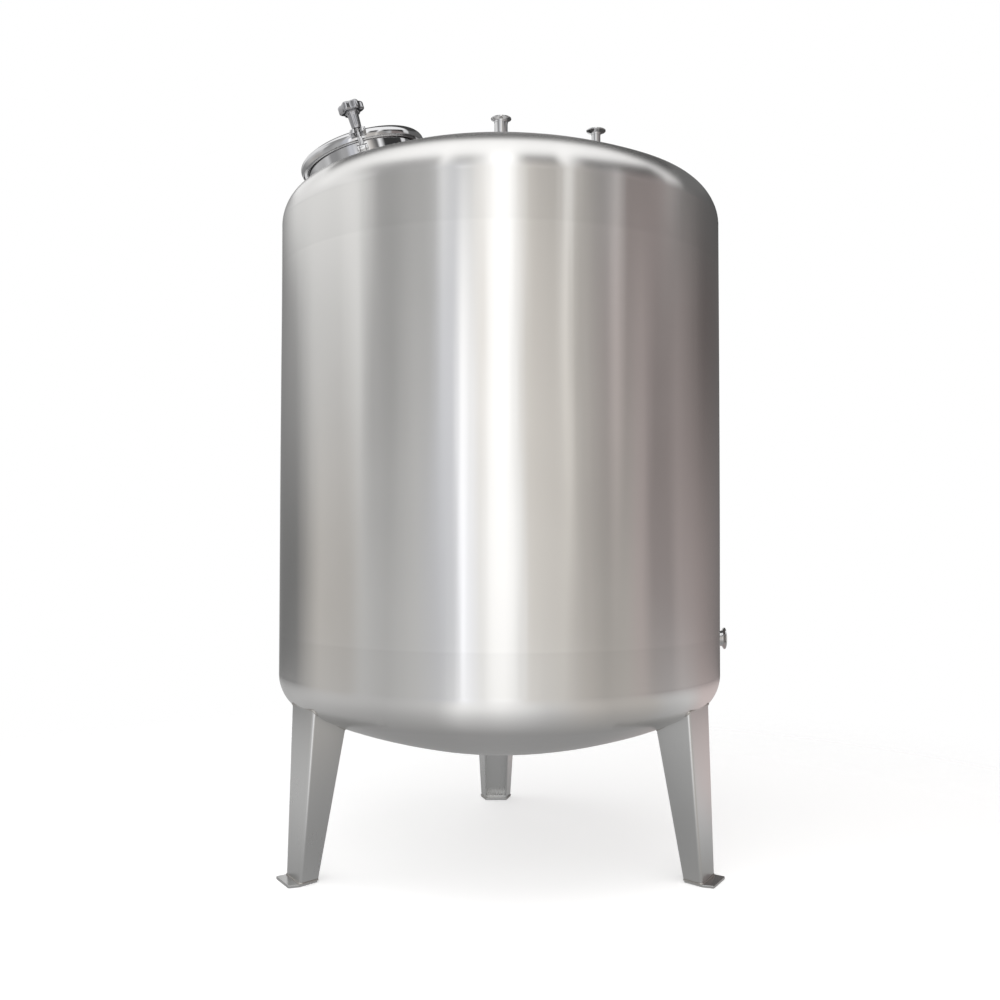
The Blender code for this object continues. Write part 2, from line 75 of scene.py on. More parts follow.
# The manway, in its own frame: +Z out of the tank along its axis, +Y towards its hinge.
MANWAY_TILT = 16.8
MANWAY_TURN = 2.4
NECK_RADIUS = 0.2015
NECK_WALL = 0.003
NECK_BELOW = 0.024
NECK_TOP = 0.070
NECK_FLANGE_RADIUS = 0.2135
NECK_FLANGE_THICKNESS = 0.004
GASKET_INNER = 0.2005
GASKET_OUTER = 0.2125
GASKET_TOP = 0.0925
LID_RADIUS = 0.221
LID_SHEET = 0.003
LID_SKIRT_BOTTOM = 0.064
LID_TOP = 0.099
LID_ROLL = 0.021
LID_TUCK = 0.002
LID_TUCK_HEIGHT = 0.010
LID_VALLEY_RADIUS = 0.191
LID_DISH_RADIUS = 0.178
LID_DISH_RISE = 0.014
LID_DISH_EDGE_DEPTH = 0.007

# The lid's hinge at the back of the manway, and the swing bolt and its knob at the front.
HINGE_REACH = 0.262
HINGE_HEIGHT = 0.066
HINGE_EYE_RADIUS = 0.012
HINGE_STRAP_WIDTH = 0.027
HINGE_PAD_BOTTOM = 0.020
HINGE_PAD_TOP = 0.056
STRAP_BOTTOM = 0.066
STRAP_TOP = 0.083
CHEEK = 0.006
CHEEK_SIDE_GAP = 0.0005
CHEEK_INSET = 0.002
PIN_RADIUS = 0.005
PIN_RUNNING_GAP = 0.0005
PIN_END = 0.002
BOLT_REACH = 0.2435
BOLT_PIVOT_HEIGHT = 0.020
BOLT_PAD_BOTTOM = -0.008
BOLT_PAD_TOP = 0.048
BOLT_RADIUS = 0.008
BOLT_EYE_RADIUS = 0.014
BOLT_EYE_WIDTH = 0.020
BOLT_TOP = 0.178
BOLT_END_EDGE = 0.002
THREAD_BOTTOM = 0.072
THREAD_PITCH = 0.002
THREAD_DEPTH = 0.0011
THREAD_STEPS = 6                 # rings of points in one turn of the thread
EAR_BOTTOM = 0.069
EAR_TOP = 0.083
EAR_WIDTH = 0.052
EAR_SLOT = 0.022
EAR_SLOT_END = -0.2335
EAR_REACH = 0.266
HUB_BOTTOM = 0.088
HUB_BOTTOM_RADIUS = 0.016
HUB_TOP_RADIUS = 0.019
HUB_FLUTE_DEPTH = 0.0022
KNOB_BOTTOM = 0.1435
KNOB_TOP = 0.1725
KNOB_RADIUS = 0.042
KNOB_LOBES = 6
KNOB_LOBE_DEPTH = 0.0075
KNOB_EDGE = 0.007
KNOB_DISH_RADIUS = 0.026
KNOB_BOSS_RADIUS = 0.0175

# The nozzles: where they stand, their height over the plate, and the radii of tube and ferrule.
NOZZLE_WALL = 0.002
FERRULE_EDGE = 0.004
FERRULE_TAPER = 0.006
FERRULE_SPIGOT = 0.006
FERRULE_SPIGOT_STEP = 0.001
FERRULE_GROOVE = 0.0014
NOZZLE_SET_THROUGH = 0.006
TOP_NOZZLES = {
    "centre_nozzle": {"x": 0.0, "y": -0.2, "height": 0.085, "tube": 0.022, "ferrule": 0.034},
    "right_nozzle": {"x": 0.315, "y": -0.2, "height": 0.078, "tube": 0.0145, "ferrule": 0.032},
}
SIDE_OUTLET = {"z": 0.72, "height": 0.031, "tube": 0.0255, "ferrule": 0.037}

# The plate's fine form: it lies a little inside its true round, more here and less there.
AROUND = 320
BARREL_ROWS = 56
INNER_ROWS = 14
SKIN_INSET = 0.0005
WAVE_DEPTH = 0.0040
WAVES_AROUND = 3.1               # waves a metre
WAVES_UP = 1.3
DENT_DEPTH = 0.0009
DENTS_AROUND = 8.5               # dents a metre
DENTS_UP = 1.9
ROLL_WAVES = (18.0, 18.0, 0.7)   # waves a metre that the rolls left, across and up
ROLL_WAVE_HEIGHT = 0.0004
# Below the first height and above the second, the plate's colour is a little darker: a painted step in its
# reflection.
DRESSED_FROM = 0.747
DRESSED_TO = 1.963
DRESSED_EDGE = 0.002
DRESSED_SHADE = 0.965

# Polish and rolling lines, as repeats a metre along X, Y and Z, all drawn coarser than real ones.
LEVEL_GRAIN = (2.0, 2.0, 250.0)        # level round the barrel, 4 mm apart
RING_GRAIN = (2.0, 2.0, 200.0)         # in rings on a dished head, 5 mm apart
UPRIGHT_GRAIN = (125.0, 125.0, 1.5)    # along the folded sheet, 8 mm apart
FINE_GRAIN = (330.0, 330.0, 330.0)     # even, 3 mm wide

# Welds: the round seams, ground nearly flush, and the size of each bead and fillet.
SEAM_WIDTH = 0.010
SEAM_PROUD = 0.00012
SEAM_ROOT = 0.00002
SEAM_DEPTH = 0.0006
LEG_WELD = 0.0035
FOOT_WELD = 0.003
NECK_WELD = 0.006
NOZZLE_WELD = 0.003
WELD_RIPPLE = 0.003              # length of one ripple of a bead

# Edges: the angle from which one is drawn sharp, and the rounding on cut plate, bars and pins.
SHARP_ANGLE = 38.0
PLATE_EDGE = 0.001
BAR_EDGE = 0.0014
PIN_EDGE = 0.0015

# The camera stands in front of the tank at eye height, a little round to one side of its legs.
CAMERA_DISTANCE = 3.7938
CAMERA_HEIGHT = 1.0710
CAMERA_ROUND = 0.997             # degrees that the tank is turned against the camera
CAMERA_YAW = 0.739
CAMERA_PITCH = 1.495
CAMERA_ROLL = -0.109
FOCAL_PIXELS = 1093.7
PICTURE_PIXELS = 1000.0
CENTRE_PIXEL = (485.3, 507.9)
SENSOR = 36.0

# The studio tent, and its rows of panels: bearing from the camera's side in degrees, brightness, and tint.
# A panel without a tint is white.
TENT_RADIUS = 4.5
TENT_TOP = 5.6
TENT_SHOULDER = 2.4
TENT_BRIGHTNESS = 2.0
WHITE = "#ffffff"
COOL = "#f6f8ff"
WARM = "#fffaf4"
ROSE = "#fff0ee"
LOW_PANELS = [
    (-180, 1.00), (-160, 0.95), (-150, 0.22), (-138, 0.20), (-116, 0.20), (-94, 0.62, WARM),
    (-74, 0.52, WARM), (-64, 0.62), (-52, 0.55), (-38, 0.66), (-27, 0.74, COOL), (-19, 0.90, COOL),
    (-16, 1.80, COOL), (-13, 1.30, COOL), (-7, 1.10), (-2, 1.45), (4, 1.50), (9, 1.10), (13, 0.88, WARM),
    (28, 0.78, WARM), (37, 0.58, WARM), (49, 0.44, WARM), (60, 0.52, WARM), (69, 0.52, ROSE),
    (76, 0.33, ROSE), (86, 0.32, ROSE), (94, 0.44, ROSE), (106, 0.40, ROSE), (118, 0.34, ROSE), (168, 0.10),
    (180, 1.00)]
MIDDLE_PANELS = [
    (-180, 1.00), (-160, 0.95), (-150, 0.25), (-118, 0.42), (-100, 0.78), (-80, 0.72), (-69, 0.92),
    (-62, 0.44), (-50, 0.42), (-40, 0.60), (-32, 0.58), (-25, 0.95, COOL), (-20, 0.90, COOL), (-16, 1.70),
    (-13, 1.30), (-7, 1.15, WARM), (-2, 1.60), (4, 1.60), (8, 1.30), (13, 0.86, WARM), (26, 0.74, WARM),
    (30, 1.10, WARM), (34, 0.62, WARM), (49, 0.40, ROSE), (54, 0.70, ROSE), (59, 0.36, ROSE),
    (67, 0.44, ROSE), (78, 0.26, ROSE), (92, 0.36, ROSE), (118, 0.14, ROSE), (168, 0.12), (180, 1.00)]
UPPER_PANELS = [
    (-180, 1.00), (-160, 0.90), (-150, 0.30), (-135, 0.60), (-120, 1.05), (-86, 1.08), (-75, 1.20),
    (-64, 1.10), (-57, 0.50), (-50, 0.46), (-36, 0.50), (-31, 0.60), (-27, 1.00), (-17, 0.72, COOL),
    (-12, 0.86), (-8, 1.22), (-2, 1.50), (5, 1.50), (10, 1.00, WARM), (18, 0.68, WARM), (27, 0.56, WARM),
    (31, 0.95), (35, 0.56, WARM), (46, 0.40), (56, 0.72), (61, 0.34, ROSE), (70, 0.32, ROSE),
    (80, 0.44, ROSE), (94, 0.24), (113, 0.16), (163, 0.08), (180, 1.00)]
HIGH_PANELS = [
    (-180, 0.08), (-150, 0.08), (-142, 1.20), (-120, 1.00), (-98, 1.30), (-78, 1.00), (-67, 0.55),
    (-52, 0.42), (-38, 0.45), (-31, 0.50), (-27, 1.40), (-20, 0.62), (-14, 0.58), (-8, 1.00), (-3, 1.80),
    (6, 1.80), (10, 0.70), (13, 0.20), (26, 0.16), (28, 0.90), (31, 1.50), (35, 1.00), (39, 0.40),
    (42, 0.06), (86, 0.06), (90, 1.10), (100, 1.00), (104, 0.20), (150, 0.18), (180, 0.08)]
ROOF_PANELS = [
    (-180, 0.08), (-128, 0.08), (-110, 1.20), (-60, 1.50), (96, 1.40), (108, 0.08), (180, 0.08)]
# Each row of panels takes over from the one below it between two heights.
PANEL_ROWS = [
    (MIDDLE_PANELS, 0.6, 2.6), (UPPER_PANELS, 2.8, 3.3), (HIGH_PANELS, 3.8, 4.2), (ROOF_PANELS, 5.0, 5.2)]
# The floor's light by bearing far from the tank, and its one dimmer brightness near it, which is a painted
# shadow of the tank.
FLOOR_PANELS = [
    (-180, 0.55), (-135, 0.50), (-114, 0.60), (-86, 0.68), (-50, 0.64), (-36, 0.72), (-26, 0.80),
    (-17, 1.26), (-8, 1.18), (0, 1.26), (9, 1.10), (18, 0.86), (36, 0.73, WARM), (46, 0.63, WARM),
    (66, 0.65, WARM), (79, 0.70), (94, 0.78), (113, 0.75, ROSE), (150, 0.60, ROSE), (180, 0.55)]
FLOOR_NEAR_BRIGHTNESS = 0.36
FLOOR_NEAR = 0.55
FLOOR_FAR = 1.8
FLOOR_RADIUS = 14.0
FLOOR_FADES = (1.2, 3.4)         # the floor melts into the backdrop between these distances
FLOOR_GLOW = 0.55
ROOM_GREY = 0.2


# Points and outlines.

def turned(degrees, axis):
    return Matrix.Rotation(math.radians(degrees), 4, axis)


def arc(centre, radius, start, end, steps):
    """Points on an arc in a flat outline, in degrees, both ends included."""
    points = []
    for i in range(steps + 1):
        angle = math.radians(start + (end - start) * i / steps)
        points.append((centre[0] + radius * math.cos(angle), centre[1] + radius * math.sin(angle)))
    return points


def rounded(corners, radii, closed=True, steps=6):
    """An outline through the corners, each rounded to its own radius, or all to one."""
    if not isinstance(radii, (list, tuple)):
        radii = [radii] * len(corners)
    points = []
    for i, (corner, radius) in enumerate(zip(corners, radii)):
        if radius == 0.0 or (not closed and i in (0, len(corners) - 1)):
            points.append(tuple(corner))
            continue
        here = Vector(corner)
        before = (Vector(corners[i - 1]) - here).normalized()
        after = (Vector(corners[(i + 1) % len(corners)]) - here).normalized()
        half = before.angle(after) / 2
        centre = here + (before + after).normalized() * (radius / math.sin(half))
        start = here + before * (radius / math.tan(half)) - centre
        side = before.x * after.y - before.y * after.x
        sweep = (math.pi - 2 * half) * (-1.0 if side > 0.0 else 1.0)
        for k in range(steps + 1):
            turn = Matrix.Rotation(sweep * k / steps, 2)
            points.append(tuple(centre + turn @ start))
    return points


def offset(outline, distance, closed=False):
    """The outline moved to its left by the distance."""
    moved = []
    last = len(outline) - 1
    for i, point in enumerate(outline):
        before = Vector(outline[i - 1] if closed or i > 0 else point)
        after = Vector(outline[(i + 1) % len(outline)] if closed or i < last else point)
        along = (after - before).normalized()
        moved.append((point[0] - along.y * distance, point[1] + along.x * distance))
    return moved


def dish(inset, crown_steps, knuckle_steps):
    """The head's profile from its apex down to its rim, moved inwards by inset."""
    crown = arc((0.0, HEAD_DEPTH - CROWN_RADIUS), CROWN_RADIUS - inset, 90.0, CROWN_ANGLE, crown_steps)
    crown[0] = (0.0, crown[0][1])
    centre = (TANK_RADIUS - KNUCKLE_RADIUS, 0.0)
    knuckle = arc(centre, KNUCKLE_RADIUS - inset, CROWN_ANGLE, 0.0, knuckle_steps)
    return crown + knuckle[1:]


def head_distance(radius, rise):
    """How far a place lies outside a head's true surface. Rise is its height over the head's rim."""
    from_crown = Vector((radius, rise - HEAD_DEPTH + CROWN_RADIUS))
    if math.degrees(math.atan2(from_crown.y, from_crown.x)) > CROWN_ANGLE:
        return from_crown.length - CROWN_RADIUS
    return math.hypot(radius - TANK_RADIUS + KNUCKLE_RADIUS, rise) - KNUCKLE_RADIUS


def outwards(point):
    """The level direction away from the tank's axis. It is nothing on the axis."""
    return Vector((point.x, point.y, 0.0)).normalized()


def unevenness(point):
    """How far the plate lies inside its true round there, left by rolling, pressing and welding."""
    swell = noise.noise(Vector((point.x * WAVES_AROUND, point.y * WAVES_AROUND, point.z * WAVES_UP)))
    dent = noise.noise(Vector((point.x * DENTS_AROUND, point.y * DENTS_AROUND, point.z * DENTS_UP)))
    return SKIN_INSET + WAVE_DEPTH * (1.0 + swell) / 2 + DENT_DEPTH * (1.0 + dent) / 2


# Meshes.

def skin(body, rows, loop=False):
    """Joins rings of points into a surface. A ring of one point is a pole."""
    rings = [[body.verts.new(point) for point in row] for row in rows]
    following = rings[1:] + rings[:1] if loop else rings[1:]
    for ring, after in zip(rings, following):
        count = max(len(ring), len(after))
        for i in range(count):
            j = (i + 1) % count
            corners = [ring[0]] if len(ring) == 1 else [ring[j], ring[i]]
            corners += [after[0]] if len(after) == 1 else [after[i], after[j]]
            body.faces.new(corners)
    return rings


def capped_skin(body, rows):
    """A surface closed with a flat face at either end."""
    rings = skin(body, rows)
    body.faces.new(rings[0])
    body.faces.new(rings[-1])


def ring_of(radius, height, steps=AROUND):
    """A ring of points about Z. The radius may be a function of the angle."""
    if radius == 0.0:
        return [Vector((0.0, 0.0, height))]
    points = []
    for i in range(steps):
        angle = 2 * math.pi * i / steps
        reach = radius(angle) if callable(radius) else radius
        points.append(Vector((reach * math.cos(angle), reach * math.sin(angle), height)))
    return points


def turn_profile(body, profile, steps):
    """Turns a profile of radii and heights about Z. Off the axis it is a closed ring."""
    rows = [ring_of(radius, height, steps) for radius, height in profile]
    skin(body, rows, loop=profile[0][0] > 0.0)


def plate(body, outline, low, high, edge, matrix=Matrix.Identity(4)):
    """An outline, counterclockwise, given thickness along Z, with rounded edges."""
    rows = []
    for side, face in ((1.0, low), (-1.0, high)):
        steps = arc((edge, edge), edge, 270.0, 180.0, 4)
        for inset, depth in steps if side > 0.0 else reversed(steps):
            rows.append([matrix @ Vector((x, y, face + side * depth))
                         for x, y in offset(outline, inset, closed=True)])
    capped_skin(body, rows)


def bead(body, path, radius, sides=10):
    """A rippled weld bead along a path."""
    spots = []
    for start, end in zip(path, path[1:]):
        steps = max(1, round((end - start).length / WELD_RIPPLE * 3))
        spots += [start.lerp(end, k / steps) for k in range(steps)]
    spots.append(path[-1])
    rows = []
    side = None
    travelled = 0.0
    for i, spot in enumerate(spots):
        before = spots[max(i - 1, 0)]
        after = spots[min(i + 1, len(spots) - 1)]
        along = (after - before).normalized()
        side = along.orthogonal() if side is None else side - along * side.dot(along)
        side.normalize()
        up = along.cross(side)
        travelled += (spot - before).length
        size = radius * (1.0 + 0.07 * math.sin(2 * math.pi * travelled / WELD_RIPPLE))
        rows.append([spot + side * (size * math.cos(2 * math.pi * k / sides))
                     + up * (size * math.sin(2 * math.pi * k / sides)) for k in range(sides)])
    capped_skin(body, rows)


def finish_mesh(name, body, matrix=Matrix.Identity(4), sharp=SHARP_ANGLE):
    bmesh.ops.recalc_face_normals(body, faces=body.faces)
    mesh = bpy.data.meshes.new(name)
    body.to_mesh(mesh)
    body.free()
    mesh.shade_smooth()
    mesh.set_sharp_from_angle(angle=math.radians(sharp))
    obj = bpy.data.objects.new(name, mesh)
    bpy.context.scene.collection.objects.link(obj)
    obj.matrix_world = matrix
    return obj


def cylinder_cutter(radius, low, high, matrix, steps=AROUND):
    body = bmesh.new()
    turn_profile(body, [(0.0, low), (radius, low), (radius, high), (0.0, high)], steps)
    return finish_mesh("cutter", body, matrix)


def cut(obj, *cutters):
    """Cuts the cutters out of a piece and removes them."""
    for cutter in cutters:
        step = obj.modifiers.new("hole", "BOOLEAN")
        step.operation = "DIFFERENCE"
        step.object = cutter
    graph = bpy.context.evaluated_depsgraph_get()
    mesh = bpy.data.meshes.new_from_object(obj.evaluated_get(graph))
    obj.modifiers.clear()
    obj.data = mesh
    mesh.name = obj.name
    mesh.shade_smooth()
    mesh.set_sharp_from_angle(angle=math.radians(SHARP_ANGLE))
    for cutter in cutters:
        bpy.data.objects.remove(cutter, do_unlink=True)


def dress(obj, body_name, slot, finishes, *nodes):
    """Gives a piece its finishes and its body, and hides the solids that it stands for. The slot is not used.
    """
    for finish in finishes:
        obj.data.materials.append(finish)
    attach(obj, body_name)
    if nodes:
        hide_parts(*nodes)


# Places on the tank.

def manway_matrix():
    """The manway's own frame: +Z out of the tank along its axis, +Y towards its hinge."""
    tilt = turned(-MANWAY_TILT, "Y")
    reach = tilt @ Vector((0.0, 0.0, CROWN_RADIUS))
    return Matrix.Translation(TOP_CROWN_CENTRE + reach) @ tilt @ turned(MANWAY_TURN, "Z")


def crown_rise(sizes):
    """How far the true crown stands over its own centre, where a nozzle is."""
    return math.sqrt(CROWN_RADIUS ** 2 - sizes["x"] ** 2 - sizes["y"] ** 2)


def nozzle_matrix(sizes):
    return Matrix.Translation((sizes["x"], sizes["y"], TOP_CROWN_CENTRE.z + crown_rise(sizes)))


def outlet_matrix():
    return Matrix.Translation((TANK_RADIUS, 0.0, SIDE_OUTLET["z"])) @ turned(90.0, "Y")


MANWAY = manway_matrix()
ON_BOLT = MANWAY @ Matrix.Translation((0.0, -BOLT_REACH, 0.0))
OUTLET = outlet_matrix()


def crown_height(matrix, x, y):
    """Height of the top head's surface over a place, in a fitting's own frame."""
    centre = matrix.inverted() @ TOP_CROWN_CENTRE
    radius = CROWN_RADIUS
    for _ in range(2):
        height = centre.z + math.sqrt(radius ** 2 - (x - centre.x) ** 2 - (y - centre.y) ** 2)
        radius = CROWN_RADIUS - unevenness(matrix @ Vector((x, y, height)))
    return height


def barrel_height(matrix, x, y):
    """Height of the barrel's surface over a place, in the outlet's own frame."""
    radius = TANK_RADIUS - unevenness(matrix @ Vector((x, y, 0.0)))
    return math.sqrt(radius ** 2 - y ** 2) - TANK_RADIUS


# The shell.

def barrel():
    """The rolled plate with its outer and inner side, cut for the outlet."""
    def row(depth, height):
        return [point - outwards(point) * (unevenness(point) + depth)
                for point in ring_of(TANK_RADIUS, height)]

    low = BARREL_BOTTOM
    high = BARREL_TOP
    rows = [row(0.0, high + (low - high) * i / BARREL_ROWS) for i in range(BARREL_ROWS + 1)]
    rows += [row(WALL, low + (high - low) * i / INNER_ROWS) for i in range(INNER_ROWS + 1)]
    body = bmesh.new()
    skin(body, rows, loop=True)
    obj = finish_mesh("barrel", body)
    cut(obj, cylinder_cutter(SIDE_OUTLET["tube"] + GAP, -0.1, 0.1, OUTLET, 64))
    return obj


def head(name, rim, side):
    """A dished head. Its rim is at that height, and side is 1 for the top and -1 for the bottom."""
    def row(outer, inner, depth):
        slope = ((outer[0] - inner[0]) / WALL, (outer[1] - inner[1]) / WALL)
        points = []
        for point in ring_of(outer[0], rim + side * outer[1]):
            normal = outwards(point) * slope[0] + Vector((0.0, 0.0, side * slope[1]))
            points.append(point - normal * (unevenness(point) + depth))
        return points

    outside = [dish(inset, 44, 24) for inset in (0.0, WALL)]
    inside = [dish(inset, 16, 10) for inset in (0.0, WALL)]
    rows = [row(outer, inner, 0.0) for outer, inner in zip(*outside)]
    rows += [row(outer, inner, WALL) for outer, inner in reversed(list(zip(*inside)))]
    body = bmesh.new()
    skin(body, rows)
    return finish_mesh(name, body)


def top_head():
    obj = head("top_head_plate", BARREL_TOP, 1.0)
    cutters = [cylinder_cutter(NECK_RADIUS + GAP, -0.08, 0.08, MANWAY)]
    for sizes in TOP_NOZZLES.values():
        cutters.append(cylinder_cutter(sizes["tube"] + GAP, -0.06, 0.06, nozzle_matrix(sizes), 64))
    cut(obj, *cutters)
    return obj


def mark_inside(obj):
    """Gives the second finish to the faces that look into the tank."""
    centre = Vector((0.0, 0.0, (BARREL_BOTTOM + BARREL_TOP) / 2))
    for polygon in obj.data.polygons:
        point = polygon.center
        if point.z > BARREL_TOP:
            deep = head_distance(math.hypot(point.x, point.y), point.z - BARREL_TOP)
        elif point.z < BARREL_BOTTOM:
            deep = head_distance(math.hypot(point.x, point.y), BARREL_BOTTOM - point.z)
        else:
            deep = math.hypot(point.x, point.y) - TANK_RADIUS
        if deep < -WALL and polygon.normal.dot(point - centre) < 0.0:
            polygon.material_index = 1


def seam(name, height):
    """The round weld between barrel and head, ground flush: a faint swelling, thickest in its middle."""
    section = [(share, SEAM_PROUD * (1.0 - share * share) - SEAM_ROOT)
               for share in (i / 4 for i in range(-4, 5))]
    section += [(0.8, -SEAM_DEPTH), (-0.8, -SEAM_DEPTH)]
    rows = []
    for across, proud in section:
        up = Vector((0.0, 0.0, across * SEAM_WIDTH / 2))
        rows.append([point + outwards(point) * (proud - unevenness(point)) + up
                     for point in ring_of(TANK_RADIUS, height, 2 * AROUND)])
    body = bmesh.new()
    skin(body, rows, loop=True)
    return finish_mesh(name, body)


# The legs.

def leg_section(height, inset):
    """The folded sheet's line across the leg at a height, in the leg's own frame: +X outwards."""
    share = height / BARREL_BOTTOM
    outer, inner, outer_width, inner_width = (
        at_floor + (at_barrel - at_floor) * share
        for at_floor, at_barrel in (LEG_OUTER, LEG_INNER, LEG_OUTER_WIDTH, LEG_INNER_WIDTH))
    corners = [(inner, inner_width / 2), (outer, outer_width / 2),
               (outer, -outer_width / 2), (inner, -inner_width / 2)]
    return offset(rounded(corners, [0.0, LEG_FOLD_RADIUS, LEG_FOLD_RADIUS, 0.0], closed=False, steps=8),
                  -inset)


def leg_line(index, inset, azimuth, steps=24):
    """One upright line of the leg, from the foot plate to the bottom head."""
    turn = turned(azimuth, "Z")
    low = leg_section(0.0, inset)[index]
    high = leg_section(BARREL_BOTTOM, inset)[index]

    def place(height):
        share = height / BARREL_BOTTOM
        across = [start + (end - start) * share for start, end in zip(low, high)]
        return turn @ Vector((*across, height))

    below = 0.3
    above = BARREL_BOTTOM
    for _ in range(24):
        middle = (below + above) / 2
        point = place(middle)
        clear = head_distance(math.hypot(point.x, point.y), BARREL_BOTTOM - middle) + unevenness(point)
        if clear > GAP:
            below = middle
        else:
            above = middle
    bottom = FOOT_THICKNESS + GAP
    return [place(bottom + (below - bottom) * i / steps) for i in range(steps + 1)]


def leg(name, azimuth):
    """Sheet folded into a tapered channel, open towards the tank's axis, with its weld to the head."""
    count = len(leg_section(0.0, 0.0))
    outside = [leg_line(i, 0.0, azimuth) for i in range(count)]
    inside = [leg_line(i, LEG_SHEET, azimuth) for i in reversed(range(count))]
    body = bmesh.new()
    rings = skin(body, list(zip(*(outside + inside))))
    for ring in (rings[0], rings[-1]):
        for i in range(count - 1):
            body.faces.new([ring[i], ring[i + 1], ring[2 * count - 2 - i], ring[2 * count - 1 - i]])
    obj = finish_mesh(name, body)

    body = bmesh.new()
    bead(body, [line[-1] for line in outside], LEG_WELD)
    bead(body, [line[0] + Vector((0.0, 0.0, 0.0005)) for line in outside], FOOT_WELD)
    return obj, finish_mesh(name + "_welds", body)


def leg_foot(name, azimuth):
    """The foot plate, which reaches outwards past its leg as a lip."""
    inner = (LEG_INNER[0], LEG_INNER_WIDTH[0] / 2)
    outer = (LEG_OUTER[0], LEG_OUTER_WIDTH[0] / 2)
    lip = (LEG_OUTER[0] + FOOT_LIP, LEG_OUTER_WIDTH[0] / 2 - FOOT_LIP_TAPER)
    corners = [(x, -y) for x, y in (inner, outer, lip)] + [(x, y) for x, y in (lip, outer, inner)]
    body = bmesh.new()
    outline = rounded(corners, [0.003, 0.006, 0.006, 0.006, 0.006, 0.003])
    plate(body, outline, 0.0, FOOT_THICKNESS, PLATE_EDGE)
    return finish_mesh(name, body, turned(azimuth, "Z"))


# The manway, all in its own frame.

def lathe(name, profile, matrix=MANWAY, steps=192):
    body = bmesh.new()
    turn_profile(body, profile, steps)
    return finish_mesh(name, body, matrix)


def manway_neck():
    inner = NECK_RADIUS - NECK_WALL
    underside = NECK_TOP - NECK_FLANGE_THICKNESS
    corners = [(NECK_FLANGE_RADIUS, NECK_TOP), (NECK_FLANGE_RADIUS, underside), (NECK_RADIUS, underside),
               (NECK_RADIUS, -NECK_BELOW), (inner, -NECK_BELOW), (inner, NECK_TOP)]
    return lathe("neck", rounded(corners, [0.0018, 0.0018, 0.004, 0.0012, 0.0012, 0.0016]))


def fitting_weld(name, radius, size, surface, matrix, steps=128):
    """A ground fillet weld round a fitting, on a plate whose height in its frame is surface(matrix, x, y)."""
    def row(reach, lift):
        points = []
        for point in ring_of(radius + reach, 0.0, steps):
            point.z = surface(matrix, point.x, point.y) + lift
            points.append(point)
        return points

    body = bmesh.new()
    rows = [row(size + size * math.cos(math.radians(angle)), size + size * math.sin(math.radians(angle)))
            for angle in (180.0, 200.0, 220.0, 240.0, 255.0, 270.0)]
    rows += [row(size, -0.001), row(-0.001, -0.001), row(-0.001, size)]
    skin(body, rows, loop=True)
    return finish_mesh(name, body, matrix)


def manway_gasket():
    """A moulded ring with a soft lip against the lid."""
    bottom = NECK_TOP + GAP
    corners = [(GASKET_OUTER, GASKET_TOP - 0.001), (GASKET_OUTER, bottom), (GASKET_INNER, bottom),
               (GASKET_INNER, GASKET_TOP)]
    return lathe("gasket", rounded(corners, [0.0035, 0.001, 0.0015, 0.0025]))


def manway_lid():
    """A pressed lid: a shallow dome, a valley, and a rim rolled over into a skirt with a curled edge."""
    dome_radius = (LID_DISH_RADIUS ** 2 + LID_DISH_RISE ** 2) / (2 * LID_DISH_RISE)
    dome_edge = LID_TOP - LID_DISH_EDGE_DEPTH
    dome = [(r, dome_edge + LID_DISH_RISE - dome_radius + math.sqrt(dome_radius ** 2 - r ** 2))
            for r in (LID_DISH_RADIUS * i / 24 for i in range(24))]
    turns = [dome[-1], (LID_DISH_RADIUS + 0.002, dome_edge), (LID_VALLEY_RADIUS + 0.002, LID_TOP),
             (LID_RADIUS, LID_TOP), (LID_RADIUS, LID_SKIRT_BOTTOM + LID_TUCK_HEIGHT),
             (LID_RADIUS - LID_TUCK, LID_SKIRT_BOTTOM)]
    face = dome[:-1] + rounded(turns, [0.0, 0.030, 0.010, LID_ROLL, 0.020, 0.0], closed=False, steps=12)
    under = list(reversed(offset(face, -LID_SHEET)))
    under[-1] = (0.0, under[-1][1])
    curl = (LID_RADIUS - LID_TUCK - LID_SHEET / 2, LID_SKIRT_BOTTOM)
    lip = arc(curl, LID_SHEET / 2, -10.0, -170.0, 6)[1:-1]
    return lathe("lid", face + lip + under)


def lid_ear():
    """The forked ear that the swing bolt drops into."""
    root = -LID_RADIUS - GAP
    corners = [(-EAR_WIDTH / 2, root), (-EAR_WIDTH / 2, -EAR_REACH), (-EAR_SLOT / 2, -EAR_REACH),
               (-EAR_SLOT / 2, EAR_SLOT_END), (EAR_SLOT / 2, EAR_SLOT_END), (EAR_SLOT / 2, -EAR_REACH),
               (EAR_WIDTH / 2, -EAR_REACH), (EAR_WIDTH / 2, root)]
    radii = [0.0, 0.009, 0.003, EAR_SLOT * 0.45, EAR_SLOT * 0.45, 0.003, 0.009, 0.0]
    body = bmesh.new()
    plate(body, rounded(corners, radii), EAR_BOTTOM, EAR_TOP, BAR_EDGE)
    return finish_mesh("ear", body, MANWAY)


# Turns a plate drawn in XY so that X runs up, Y runs across the manway and its thickness lies along X.
UPRIGHT = Matrix(((0.0, 0.0, 1.0, 0.0), (0.0, 1.0, 0.0, 0.0), (1.0, 0.0, 0.0, 0.0), (0.0, 0.0, 0.0, 1.0)))


def cheek_outline(root, reach, height, eye, foot, shoulder):
    """A cheek's side view, as heights and reaches: its root, and a round end about its pin."""
    side = 1.0 if reach > 0.0 else -1.0
    nose = [(height + z, reach + side * y) for y, z in arc((0.0, 0.0), eye, 90.0, -90.0, 24)]
    outline = [(shoulder, root)] + nose + [(foot, root)]
    return outline if side < 0.0 else list(reversed(outline))


